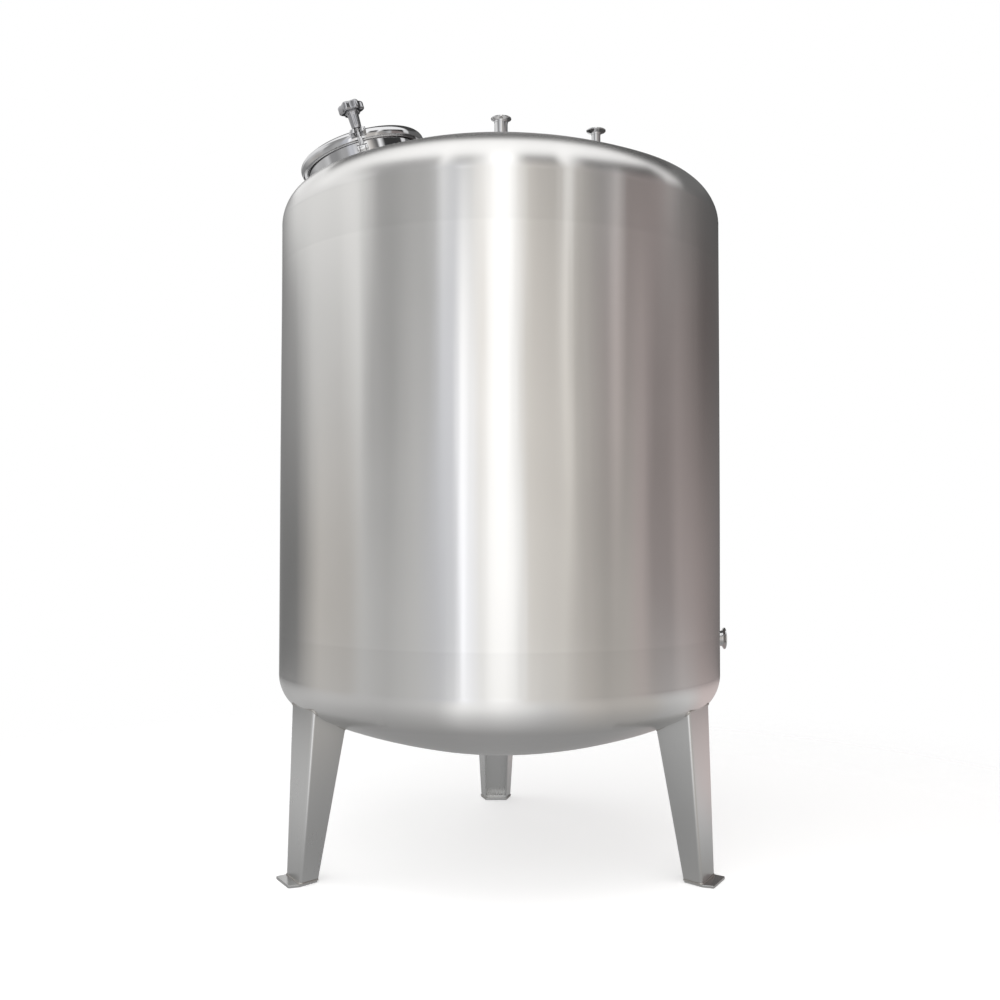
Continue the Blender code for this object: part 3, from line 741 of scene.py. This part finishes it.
def cross_bar(name, radius, half, reach, height, edge):
    """A round bar across the manway's YZ plane, with rounded ends."""
    end = arc((radius - edge, half - edge), edge, 90.0, 0.0, 5)
    profile = [(0.0, half)] + end + [(r, -x) for r, x in reversed(end)] + [(0.0, -half)]
    body = bmesh.new()
    turn_profile(body, profile, 48)
    along = Matrix.Translation((0.0, reach, height)) @ turned(90.0, "Y")
    return finish_mesh(name, body, MANWAY @ along)


def pin_bore(radius, reach, height):
    return cross_bar("bore", radius, 0.05, reach, height, 0.0001)


def lugs(name, width, side, reach, height, eye, pad_bottom, pad_top):
    """Two cheeks on a small plate on the neck, bored for their pin, with a piece of this width between."""
    half = width / 2 + CHEEK_SIDE_GAP
    root = side * (NECK_RADIUS + GAP)
    body = bmesh.new()
    face = root + side * CHEEK
    pad = [(pad_bottom, root), (pad_top, root), (pad_top, face), (pad_bottom, face)]
    if side > 0.0:
        pad.reverse()
    plate(body, rounded(pad, 0.0015), -half - CHEEK, half + CHEEK, PLATE_EDGE, UPRIGHT)
    outline = cheek_outline(root + side * CHEEK * 0.9, reach, height, eye,
                            pad_bottom + CHEEK_INSET, pad_top - CHEEK_INSET)
    for low in (-half - CHEEK, half):
        plate(body, outline, low, low + CHEEK, PLATE_EDGE, UPRIGHT)
    obj = finish_mesh(name, body, MANWAY)
    cut(obj, pin_bore(PIN_RADIUS + GAP, reach, height))
    return obj


def hinge_cheeks():
    return lugs("hinge_cheeks", HINGE_STRAP_WIDTH, 1.0, HINGE_REACH, HINGE_HEIGHT, HINGE_EYE_RADIUS,
                HINGE_PAD_BOTTOM, HINGE_PAD_TOP)


def bolt_cheeks():
    return lugs("bolt_cheeks", BOLT_EYE_WIDTH, -1.0, -BOLT_REACH, BOLT_PIVOT_HEIGHT, BOLT_EYE_RADIUS,
                BOLT_PAD_BOTTOM, BOLT_PAD_TOP)


def lid_strap():
    """The bar from the lid's skirt to the hinge pin."""
    half = HINGE_STRAP_WIDTH / 2
    outline = cheek_outline(LID_RADIUS + GAP, HINGE_REACH, HINGE_HEIGHT, HINGE_EYE_RADIUS,
                            STRAP_BOTTOM, STRAP_TOP)
    body = bmesh.new()
    plate(body, outline, -half, half, BAR_EDGE, UPRIGHT)
    obj = finish_mesh("strap", body, MANWAY)
    cut(obj, pin_bore(PIN_RADIUS + PIN_RUNNING_GAP, HINGE_REACH, HINGE_HEIGHT))
    return obj


def pin(name, width, reach, height):
    """The pin through a piece of this width and the cheeks on either side of it."""
    half = width / 2 + CHEEK_SIDE_GAP + CHEEK + PIN_END
    return cross_bar(name, PIN_RADIUS, half, reach, height, PIN_EDGE)


def swing_bolt():
    """An eye bolt on its pin, with a cut thread up to its domed end."""
    steps = 40
    root = BOLT_PIVOT_HEIGHT + BOLT_EYE_RADIUS * 0.6
    rows = [ring_of(0.0, root), ring_of(BOLT_RADIUS, root, steps), ring_of(BOLT_RADIUS, THREAD_BOTTOM, steps)]
    turns = (BOLT_TOP - BOLT_END_EDGE - THREAD_BOTTOM) / THREAD_PITCH
    levels = round(turns * THREAD_STEPS)
    for level in range(1, levels + 1):
        # The thread reaches its full depth after two turns.
        depth = THREAD_DEPTH * min(1.0, level / (2 * THREAD_STEPS))

        def reach(angle):
            phase = (level / THREAD_STEPS - angle / (2 * math.pi)) % 1.0
            return BOLT_RADIUS - depth * (1.0 - abs(2.0 * phase - 1.0))

        rows.append(ring_of(reach, THREAD_BOTTOM + THREAD_PITCH * level / THREAD_STEPS, steps))
    end = arc((BOLT_RADIUS - 0.003, BOLT_TOP - BOLT_END_EDGE), BOLT_END_EDGE, 0.0, 90.0, 4)
    rows += [ring_of(radius, height, steps) for radius, height in end + [(0.0, BOLT_TOP)]]
    body = bmesh.new()
    skin(body, rows)
    obj = finish_mesh("eye_bolt", body, ON_BOLT, sharp=70.0)
    eye = cross_bar("bolt_eye", BOLT_EYE_RADIUS, BOLT_EYE_WIDTH / 2, -BOLT_REACH, BOLT_PIVOT_HEIGHT, 0.002)
    cut(eye, pin_bore(PIN_RADIUS + PIN_RUNNING_GAP, -BOLT_REACH, BOLT_PIVOT_HEIGHT))
    return obj, eye


def hand_knob():
    """A lobed knob on a fluted hub, with a boss on top, bored for the bolt."""
    def row(radius, height, lobe):
        def reach(angle):
            return radius - lobe * (1.0 - math.cos(KNOB_LOBES * angle)) / 2

        return ring_of(reach, height, KNOB_LOBES * 20)

    edge = KNOB_EDGE
    low_edge = arc((KNOB_RADIUS - edge, KNOB_BOTTOM + edge), edge, 270.0, 360.0, 8)
    high_edge = arc((KNOB_RADIUS - edge, KNOB_TOP - edge), edge, 0.0, 90.0, 8)
    bore = BOLT_RADIUS + GAP
    # From the bore round the hub's lower end, where the flutes run out.
    rows = [row(bore, HUB_BOTTOM + 0.001, 0.0), row(bore + 0.001, HUB_BOTTOM, 0.0),
            row(HUB_BOTTOM_RADIUS - 0.0015, HUB_BOTTOM, 0.0),
            row(HUB_BOTTOM_RADIUS, HUB_BOTTOM + 0.0015, 0.4 * HUB_FLUTE_DEPTH),
            row(HUB_BOTTOM_RADIUS, HUB_BOTTOM + 0.006, HUB_FLUTE_DEPTH)]
    for share in (i / 16 for i in range(2, 14)):
        radius = HUB_BOTTOM_RADIUS + (HUB_TOP_RADIUS - HUB_BOTTOM_RADIUS) * share
        rows.append(row(radius, HUB_BOTTOM + (KNOB_BOTTOM - HUB_BOTTOM) * share, HUB_FLUTE_DEPTH))
    root = rounded([(HUB_TOP_RADIUS, KNOB_BOTTOM - 0.008), (HUB_TOP_RADIUS, KNOB_BOTTOM),
                    (KNOB_RADIUS - edge, KNOB_BOTTOM)], [0.0, 0.006, 0.0], closed=False)
    rows += [row(radius, height, HUB_FLUTE_DEPTH) for radius, height in root[:-1]]
    rows += [row(radius, height, KNOB_LOBE_DEPTH) for radius, height in low_edge + high_edge]
    # The top sinks a little round a low boss, down into the bore.
    boss = KNOB_BOSS_RADIUS
    rows += [row(KNOB_DISH_RADIUS, KNOB_TOP - 0.0015, 0.0), row(boss, KNOB_TOP - 0.002, 0.0),
             row(boss - 0.001, KNOB_TOP - 0.0005, 0.0), row(boss - 0.002, KNOB_TOP, 0.0),
             row(bore + 0.001, KNOB_TOP, 0.0), row(bore, KNOB_TOP - 0.001, 0.0)]
    body = bmesh.new()
    skin(body, rows, loop=True)
    return finish_mesh("knob", body, ON_BOLT, sharp=50.0)


# The nozzles, each in its own frame: +Z out along its tube.

def nozzle_tube(name, tube, base, length, matrix):
    joint = length - FERRULE_EDGE - FERRULE_TAPER - FERRULE_SPIGOT
    corners = [(tube, joint), (tube, base), (tube - NOZZLE_WALL, base), (tube - NOZZLE_WALL, joint)]
    return lathe(name, rounded(corners, [0.0, 0.0006, 0.0006, 0.0]), matrix, 96)


def ferrule(name, tube, radius, face, matrix):
    """A clamp ferrule: a thin tapered flange with a round gasket groove in its face."""
    taper_end = face - FERRULE_EDGE - FERRULE_TAPER
    bore = tube - NOZZLE_WALL
    groove = (tube + radius) / 2
    spigot = tube + FERRULE_SPIGOT_STEP
    spigot_end = taper_end - FERRULE_SPIGOT
    corners = [(bore, face), (radius, face), (radius, face - FERRULE_EDGE), (spigot, taper_end),
               (spigot, spigot_end), (bore, spigot_end)]
    outline = rounded(corners, [0.0008, 0.0009, 0.0012, 0.004, 0.0006, 0.0])
    cut_in = arc((groove, face), FERRULE_GROOVE, 180.0, 360.0, 8)
    split = next(i for i, (r, z) in enumerate(outline) if r > groove)
    return lathe(name, outline[:split] + cut_in + outline[split:], matrix, 128)


def fitting(name, sizes, base, surface, matrix):
    """A tube from its base up, its ferrule, and its weld to the plate."""
    tube = nozzle_tube(name + "_pipe", sizes["tube"], base, sizes["height"], matrix)
    ring = ferrule(name + "_ring", sizes["tube"], sizes["ferrule"], sizes["height"], matrix)
    weld = fitting_weld(name + "_weld", sizes["tube"], NOZZLE_WELD, surface, matrix)
    return tube, ring, weld


# Finishes.

def srgb(colour):
    """A hex colour as linear red, green, blue and alpha."""
    shares = [int(colour[i:i + 2], 16) / 255 for i in (1, 3, 5)]
    return (*(s / 12.92 if s <= 0.04045 else ((s + 0.055) / 1.055) ** 2.4 for s in shares), 1.0)


def grey(level):
    return (level, level, level, 1.0)


def new_finish(name):
    material = bpy.data.materials.new(name)
    material.use_nodes = True
    return material


def add(tree, kind, inputs=(), **settings):
    """Adds a shader node with its settings, and fills its inputs.

    An input takes a value, another node's output, or a node, which stands for its first output."""
    node = tree.nodes.new("ShaderNode" + kind)
    for name, value in settings.items():
        setattr(node, name, value)
    for name, value in dict(inputs).items():
        if isinstance(value, bpy.types.Node):
            value = value.outputs[0]
        if isinstance(value, bpy.types.NodeSocket):
            tree.links.new(value, node.inputs[name])
        else:
            node.inputs[name].default_value = value
    return node


def away_from(tree, height, middle):
    """How far a height is above or below the middle."""
    above = add(tree, "Math", {0: height, 1: middle}, operation="SUBTRACT")
    return add(tree, "Math", {0: above}, operation="ABSOLUTE")


def ring_place(tree, place):
    """Places on a dished head, laid out along its slope so that the grain runs in rings."""
    flat = add(tree, "VectorMath", {0: place, 1: (1.0, 1.0, 0.0)}, operation="MULTIPLY")
    radius = add(tree, "VectorMath", {0: flat}, operation="LENGTH")
    parts = add(tree, "SeparateXYZ", {0: place})
    height = away_from(tree, parts.outputs["Z"], (BARREL_BOTTOM + BARREL_TOP) / 2)
    along = add(tree, "Math", {0: radius.outputs["Value"], 1: height}, operation="SUBTRACT")
    return add(tree, "CombineXYZ", {"X": parts.outputs["X"], "Y": parts.outputs["Y"], "Z": along})


def steel(name, colour, roughness, spread, bump_height, grain=FINE_GRAIN, drawn=0.0, rings=False):
    """Bare stainless: a metal whose grain is a stretched noise laid along the polish.

    Spread is how far the roughness wanders along with the grain. Drawn is how strongly the sheen is drawn
    out across the polish lines, which run level round the barrel and in rings on the heads."""
    material = new_finish(name)
    tree = material.node_tree
    shader = tree.nodes["Principled BSDF"]
    shader.inputs["Metallic"].default_value = 1.0
    shader.inputs["Anisotropic"].default_value = drawn
    shader.inputs["Anisotropic Rotation"].default_value = 0.25 * drawn
    place = add(tree, "TexCoord").outputs["Object"]
    stretch = add(tree, "Mapping", {"Vector": ring_place(tree, place) if rings else place, "Scale": grain})
    lines = add(tree, "TexNoise", {"Vector": stretch, "Scale": 1.0, "Detail": 3.0, "Roughness": 0.6})
    clouds = add(tree, "TexNoise", {"Vector": place, "Scale": 3.0, "Detail": 2.0})
    shade = add(tree, "MapRange", {"Value": clouds, "From Min": 0.3, "From Max": 0.7,
                                   "To Min": roughness - spread, "To Max": roughness + spread})
    rough = add(tree, "Math", {0: lines, 1: spread, 2: shade}, operation="MULTIPLY_ADD")
    tint = add(tree, "Mix", {"Factor": clouds, 6: srgb(colour[0]), 7: srgb(colour[1])}, data_type="RGBA")
    bump = add(tree, "Bump", {"Height": lines, "Strength": 1.0, "Distance": bump_height})
    tangent = add(tree, "Tangent", direction_type="RADIAL", axis="Z")
    tree.links.new(tint.outputs[2], shader.inputs["Base Color"])
    tree.links.new(rough.outputs[0], shader.inputs["Roughness"])
    tree.links.new(bump.outputs[0], shader.inputs["Normal"])
    tree.links.new(tangent.outputs[0], shader.inputs["Tangent"])
    return material


def satin_plate():
    """Cold-rolled stainless plate, belt polished round the tank: its sheen is drawn out up and down.

    The plate keeps faint upright waves from the rolls, 55 mm apart. Beside each round weld, a band is
    a little darker in colour: a painted step in the plate's reflection."""
    material = steel("belt_polished_plate", ("#d6d5d3", "#dedddb"), 0.19, 0.008, 0.00002, LEVEL_GRAIN, 1.0)
    tree = material.node_tree
    shader = tree.nodes["Principled BSDF"]
    grain = shader.inputs["Normal"].links[0].from_socket
    place = add(tree, "TexCoord").outputs["Object"]
    stretch = add(tree, "Mapping", {"Vector": place, "Scale": ROLL_WAVES})
    waves = add(tree, "TexNoise", {"Vector": stretch, "Scale": 1.0, "Detail": 2.0})
    rolled = add(tree, "Bump", {"Height": waves, "Strength": 1.0, "Distance": ROLL_WAVE_HEIGHT,
                                "Normal": grain})
    tree.links.new(rolled.outputs[0], shader.inputs["Normal"])
    # The mask and the darker mix below paint a step in the plate's reflection: the colour is darker outside
    # the two heights.
    parts = add(tree, "SeparateXYZ", {0: place})
    away = away_from(tree, parts.outputs["Z"], (DRESSED_TO + DRESSED_FROM) / 2)
    half = (DRESSED_TO - DRESSED_FROM) / 2
    dressed = add(tree, "MapRange", {"Value": away, "From Min": half - DRESSED_EDGE,
                                     "From Max": half + DRESSED_EDGE})
    tint = shader.inputs["Base Color"].links[0].from_socket
    duller = add(tree, "Mix", {"Factor": dressed, 6: grey(1.0), 7: grey(DRESSED_SHADE)}, data_type="RGBA")
    both = add(tree, "Mix", {"Factor": 1.0, 6: tint, 7: duller.outputs[2]}, data_type="RGBA",
               blend_type="MULTIPLY")
    tree.links.new(both.outputs[2], shader.inputs["Base Color"])
    return material


def satin_head():
    """Pressed and spun stainless, polished in rings: its sheen is drawn out towards the apex."""
    return steel("spun_polished_plate", ("#d4d3d1", "#dbdad9"), 0.20, 0.008, 0.00002, RING_GRAIN, 1.0, True)


def mill_sheet():
    """Cold-rolled stainless sheet as the mill left it, folded: a soft even sheen, faint rolling lines."""
    return steel("mill_sheet", ("#cdcdcc", "#d8d8d7"), 0.27, 0.02, 0.000006, UPRIGHT_GRAIN)


def mirror_steel():
    """Turned and buffed stainless fittings: near-mirror, with faint buffing swirls."""
    return steel("buffed_fittings", ("#c3c3c4", "#cacacb"), 0.05, 0.012, 0.000004)


def cast_knob():
    """Cast stainless, tumbled and buffed: greyer and a little softer than the turned fittings."""
    return steel("buffed_casting", ("#9d9da0", "#a9a9ab"), 0.08, 0.012, 0.000002)


def ground_weld():
    """Weld metal ground and dressed: duller and a little rougher than the plate beside it."""
    return steel("ground_weld", ("#bdbab6", "#c9c6c2"), 0.34, 0.05, 0.00012)


def pickled_inside():
    """The plate's inner side, pickled in acid after welding: pale, and matt enough to scatter light."""
    material = steel("pickled_plate", ("#cfcecb", "#d8d7d4"), 0.55, 0.04, 0.00002)
    material.node_tree.nodes["Principled BSDF"].inputs["Metallic"].default_value = 0.3
    return material


def moulded_silicone():
    """White silicone, moulded: soft edges and a low, even sheen."""
    material = new_finish("moulded_silicone")
    tree = material.node_tree
    shader = tree.nodes["Principled BSDF"]
    shader.inputs["Roughness"].default_value = 0.42
    shader.inputs["IOR"].default_value = 1.41
    place = add(tree, "TexCoord").outputs["Object"]
    dust = add(tree, "TexNoise", {"Vector": place, "Scale": 60.0, "Detail": 2.0})
    tint = add(tree, "Mix", {"Factor": dust, 6: srgb("#dedbd3"), 7: srgb("#efede8")}, data_type="RGBA")
    bump = add(tree, "Bump", {"Height": dust, "Strength": 1.0, "Distance": 0.00003})
    tree.links.new(tint.outputs[2], shader.inputs["Base Color"])
    tree.links.new(bump.outputs[0], shader.inputs["Normal"])
    return material


# The studio.

TOWARDS_CAMERA = turned(-CAMERA_ROUND, "Z")


def set_camera():
    data = bpy.data.cameras.new("camera")
    data.sensor_width = SENSOR
    data.lens = FOCAL_PIXELS / PICTURE_PIXELS * SENSOR
    data.shift_x = 0.5 - CENTRE_PIXEL[0] / PICTURE_PIXELS
    data.shift_y = CENTRE_PIXEL[1] / PICTURE_PIXELS - 0.5
    camera = bpy.data.objects.new("camera", data)
    bpy.context.scene.collection.objects.link(camera)
    stand = Matrix.Translation((0.0, -CAMERA_DISTANCE, CAMERA_HEIGHT))
    aim = turned(CAMERA_YAW, "Z") @ turned(CAMERA_PITCH, "X") @ turned(CAMERA_ROLL, "Y") @ turned(90.0, "X")
    camera.matrix_world = TOWARDS_CAMERA @ stand @ aim
    bpy.context.scene.camera = camera


def panels(tree, place, strips):
    """The brightness of a row of panels, by the bearing round the tank's axis from the camera's side."""
    parts = add(tree, "SeparateXYZ", {0: place})
    ahead = add(tree, "Math", {0: parts.outputs["Y"], 1: -1.0}, operation="MULTIPLY")
    bearing = add(tree, "Math", {0: parts.outputs["X"], 1: ahead}, operation="ARCTAN2")
    share = add(tree, "Math", {0: bearing, 1: 0.5 / math.pi, 2: 0.5}, operation="MULTIPLY_ADD")
    ramp = add(tree, "ValToRGB", {"Fac": share})
    stops = ramp.color_ramp.elements
    while len(stops) < len(strips):
        stops.new(0.5)
    for stop, (degrees, brightness, *tint) in zip(stops, strips):
        stop.position = 0.5 + degrees / 360.0
        level = brightness / TENT_BRIGHTNESS
        stop.color = [level * part for part in srgb(tint[0] if tint else WHITE)[:3]] + [1.0]
    return ramp


def tent():
    """A white studio tent round the tank, lit unevenly by bearing and height, and brightest in front."""
    body = bmesh.new()
    outline = rounded([(TENT_RADIUS, 0.0), (TENT_RADIUS, TENT_TOP), (0.0, TENT_TOP)],
                      [0.0, TENT_SHOULDER, 0.0], closed=False, steps=12)
    skin(body, [ring_of(radius, height, 96) for radius, height in outline])
    obj = finish_mesh("tent", body, TOWARDS_CAMERA)
    obj.visible_camera = False
    finish = new_finish("lit_cloth")
    tree = finish.node_tree
    tree.nodes.clear()
    place = add(tree, "TexCoord").outputs["Object"]
    parts = add(tree, "SeparateXYZ", {0: place})
    colour = panels(tree, place, LOW_PANELS).outputs[0]
    for strips, bottom, top in PANEL_ROWS:
        above = panels(tree, place, strips)
        rise = add(tree, "MapRange", {"Value": parts.outputs["Z"], "From Min": bottom, "From Max": top},
                   interpolation_type="SMOOTHSTEP")
        colour = add(tree, "Mix", {"Factor": rise, 6: colour, 7: above}, data_type="RGBA").outputs[2]
    glow = add(tree, "Emission", {"Color": colour, "Strength": TENT_BRIGHTNESS})
    add(tree, "OutputMaterial", {"Surface": glow})
    obj.data.materials.append(finish)


def world():
    surroundings = bpy.data.worlds.new("surroundings")
    bpy.context.scene.world = surroundings
    surroundings.use_nodes = True
    tree = surroundings.node_tree
    tree.nodes.clear()
    seen_by_camera = add(tree, "LightPath").outputs["Is Camera Ray"]
    room = add(tree, "Background", {"Color": grey(ROOM_GREY)})
    backdrop = add(tree, "Background", {"Color": grey(1.0)})
    both = add(tree, "MixShader", {0: seen_by_camera, 1: room, 2: backdrop})
    add(tree, "OutputWorld", {"Surface": both})


def floor():
    """A pale floor that melts into the backdrop, and that the tank mirrors as brighter far out than near.
    Its dimmer glow near the tank is a painted shadow of the tank.
    """
    body = bmesh.new()
    bmesh.ops.create_circle(body, cap_ends=True, segments=128, radius=FLOOR_RADIUS)
    obj = finish_mesh("floor", body)
    obj.location.z = -0.001
    finish = new_finish("pale_floor")
    tree = finish.node_tree
    tree.nodes.clear()
    seen_by_camera = add(tree, "LightPath").outputs["Is Camera Ray"]
    place = add(tree, "TexCoord").outputs["Object"]
    away = add(tree, "VectorMath", {0: place}, operation="LENGTH").outputs["Value"]
    fade = add(tree, "MapRange", {"Value": away, "From Min": FLOOR_FADES[0], "From Max": FLOOR_FADES[1]},
               interpolation_type="SMOOTHSTEP")
    lit = add(tree, "BsdfDiffuse", {"Color": srgb("#f4f4f4")})
    glow = add(tree, "Emission", {"Color": grey(FLOOR_GLOW)})
    pale = add(tree, "AddShader", {0: lit, 1: glow})
    seen = add(tree, "MixShader", {0: fade, 1: pale, 2: add(tree, "BsdfTransparent")})
    # Seen only in reflections: the glow is dimmer near the tank, which is a painted shadow of the tank.
    outward = add(tree, "MapRange", {"Value": away, "From Min": FLOOR_NEAR, "From Max": FLOOR_FAR})
    near = grey(FLOOR_NEAR_BRIGHTNESS / TENT_BRIGHTNESS)
    glint = add(tree, "Mix", {"Factor": outward, 6: near, 7: panels(tree, place, FLOOR_PANELS)},
                data_type="RGBA")
    sheen = add(tree, "Emission", {"Color": glint.outputs[2], "Strength": TENT_BRIGHTNESS})
    both = add(tree, "MixShader", {0: seen_by_camera, 1: sheen, 2: seen})
    add(tree, "OutputMaterial", {"Surface": both})
    obj.data.materials.append(finish)


# The whole tank.

def build():
    plate_finish = satin_plate()
    head_finish = satin_head()
    sheet = mill_sheet()
    mirror = mirror_steel()
    casting = cast_knob()
    weld = ground_weld()
    inside = pickled_inside()
    silicone = moulded_silicone()

    def fit(obj, body_name, *nodes):
        dress(obj, body_name, "mirror_steel", [mirror], *nodes)

    shell = barrel()
    plates = ["shell_plate_" + str(i) for i in range(1, 9)]
    dress(shell, "tank", "satin_shell", [plate_finish, inside], *plates)
    upper = top_head()
    dress(upper, "tank", "satin_shell", [head_finish, inside], "top_head")
    lower = head("bottom_head_plate", BARREL_BOTTOM, -1.0)
    dress(lower, "tank", "satin_shell", [head_finish, inside], "bottom_head")
    for obj in (shell, upper, lower):
        mark_inside(obj)
    for name, height in (("top_seam", BARREL_TOP), ("bottom_seam", BARREL_BOTTOM)):
        dress(seam(name, height), "tank", "satin_shell", [head_finish])

    for side, azimuth in LEG_AZIMUTHS.items():
        channel, welds = leg(side + "_channel", azimuth)
        dress(channel, "tank", "satin_legs", [sheet], side + "_leg")
        dress(welds, "tank", "satin_legs", [weld])
        dress(leg_foot(side + "_foot_plate", azimuth), "tank", "satin_legs", [sheet], side + "_foot")

    fit(manway_neck(), "tank", "manway_neck")
    neck_weld = fitting_weld("neck_weld", NECK_RADIUS, NECK_WELD, crown_height, MANWAY, AROUND)
    dress(neck_weld, "tank", "satin_shell", [weld])
    fit(hinge_cheeks(), "tank", "hinge_lugs")
    fit(pin("hinge_rod", HINGE_STRAP_WIDTH, HINGE_REACH, HINGE_HEIGHT), "tank", "hinge_pin")
    fit(bolt_cheeks(), "tank", "bolt_lugs")
    fit(pin("bolt_rod", BOLT_EYE_WIDTH, -BOLT_REACH, BOLT_PIVOT_HEIGHT), "tank", "bolt_pin")
    fit(manway_lid(), "lid", "manway_lid")
    dress(manway_gasket(), "lid", "gasket_rubber", [silicone], "manway_gasket")
    fit(lid_ear(), "lid", "lid_ear")
    fit(lid_strap(), "lid", "lid_strap")
    rod, eye = swing_bolt()
    fit(rod, "bolt", "swing_bolt")
    fit(eye, "bolt")
    dress(hand_knob(), "knob", "mirror_steel", [casting], "hand_knob")

    fittings = []
    for name, sizes in TOP_NOZZLES.items():
        drop = sizes["tube"] * math.hypot(sizes["x"], sizes["y"]) / crown_rise(sizes)
        fittings.append((name, sizes, drop, crown_height, nozzle_matrix(sizes)))
    fittings.append(("side_outlet", SIDE_OUTLET, 0.0, barrel_height, OUTLET))
    for name, sizes, drop, surface, matrix in fittings:
        tube, ring, joint = fitting(name, sizes, -drop - WALL - NOZZLE_SET_THROUGH, surface, matrix)
        fit(tube, "tank", name + "_tube")
        fit(ring, "tank", name + "_ferrule")
        dress(joint, "tank", "satin_shell", [weld])


build()
floor()
world()
tent()
set_camera()
bpy.context.scene.view_settings.view_transform = "Standard"
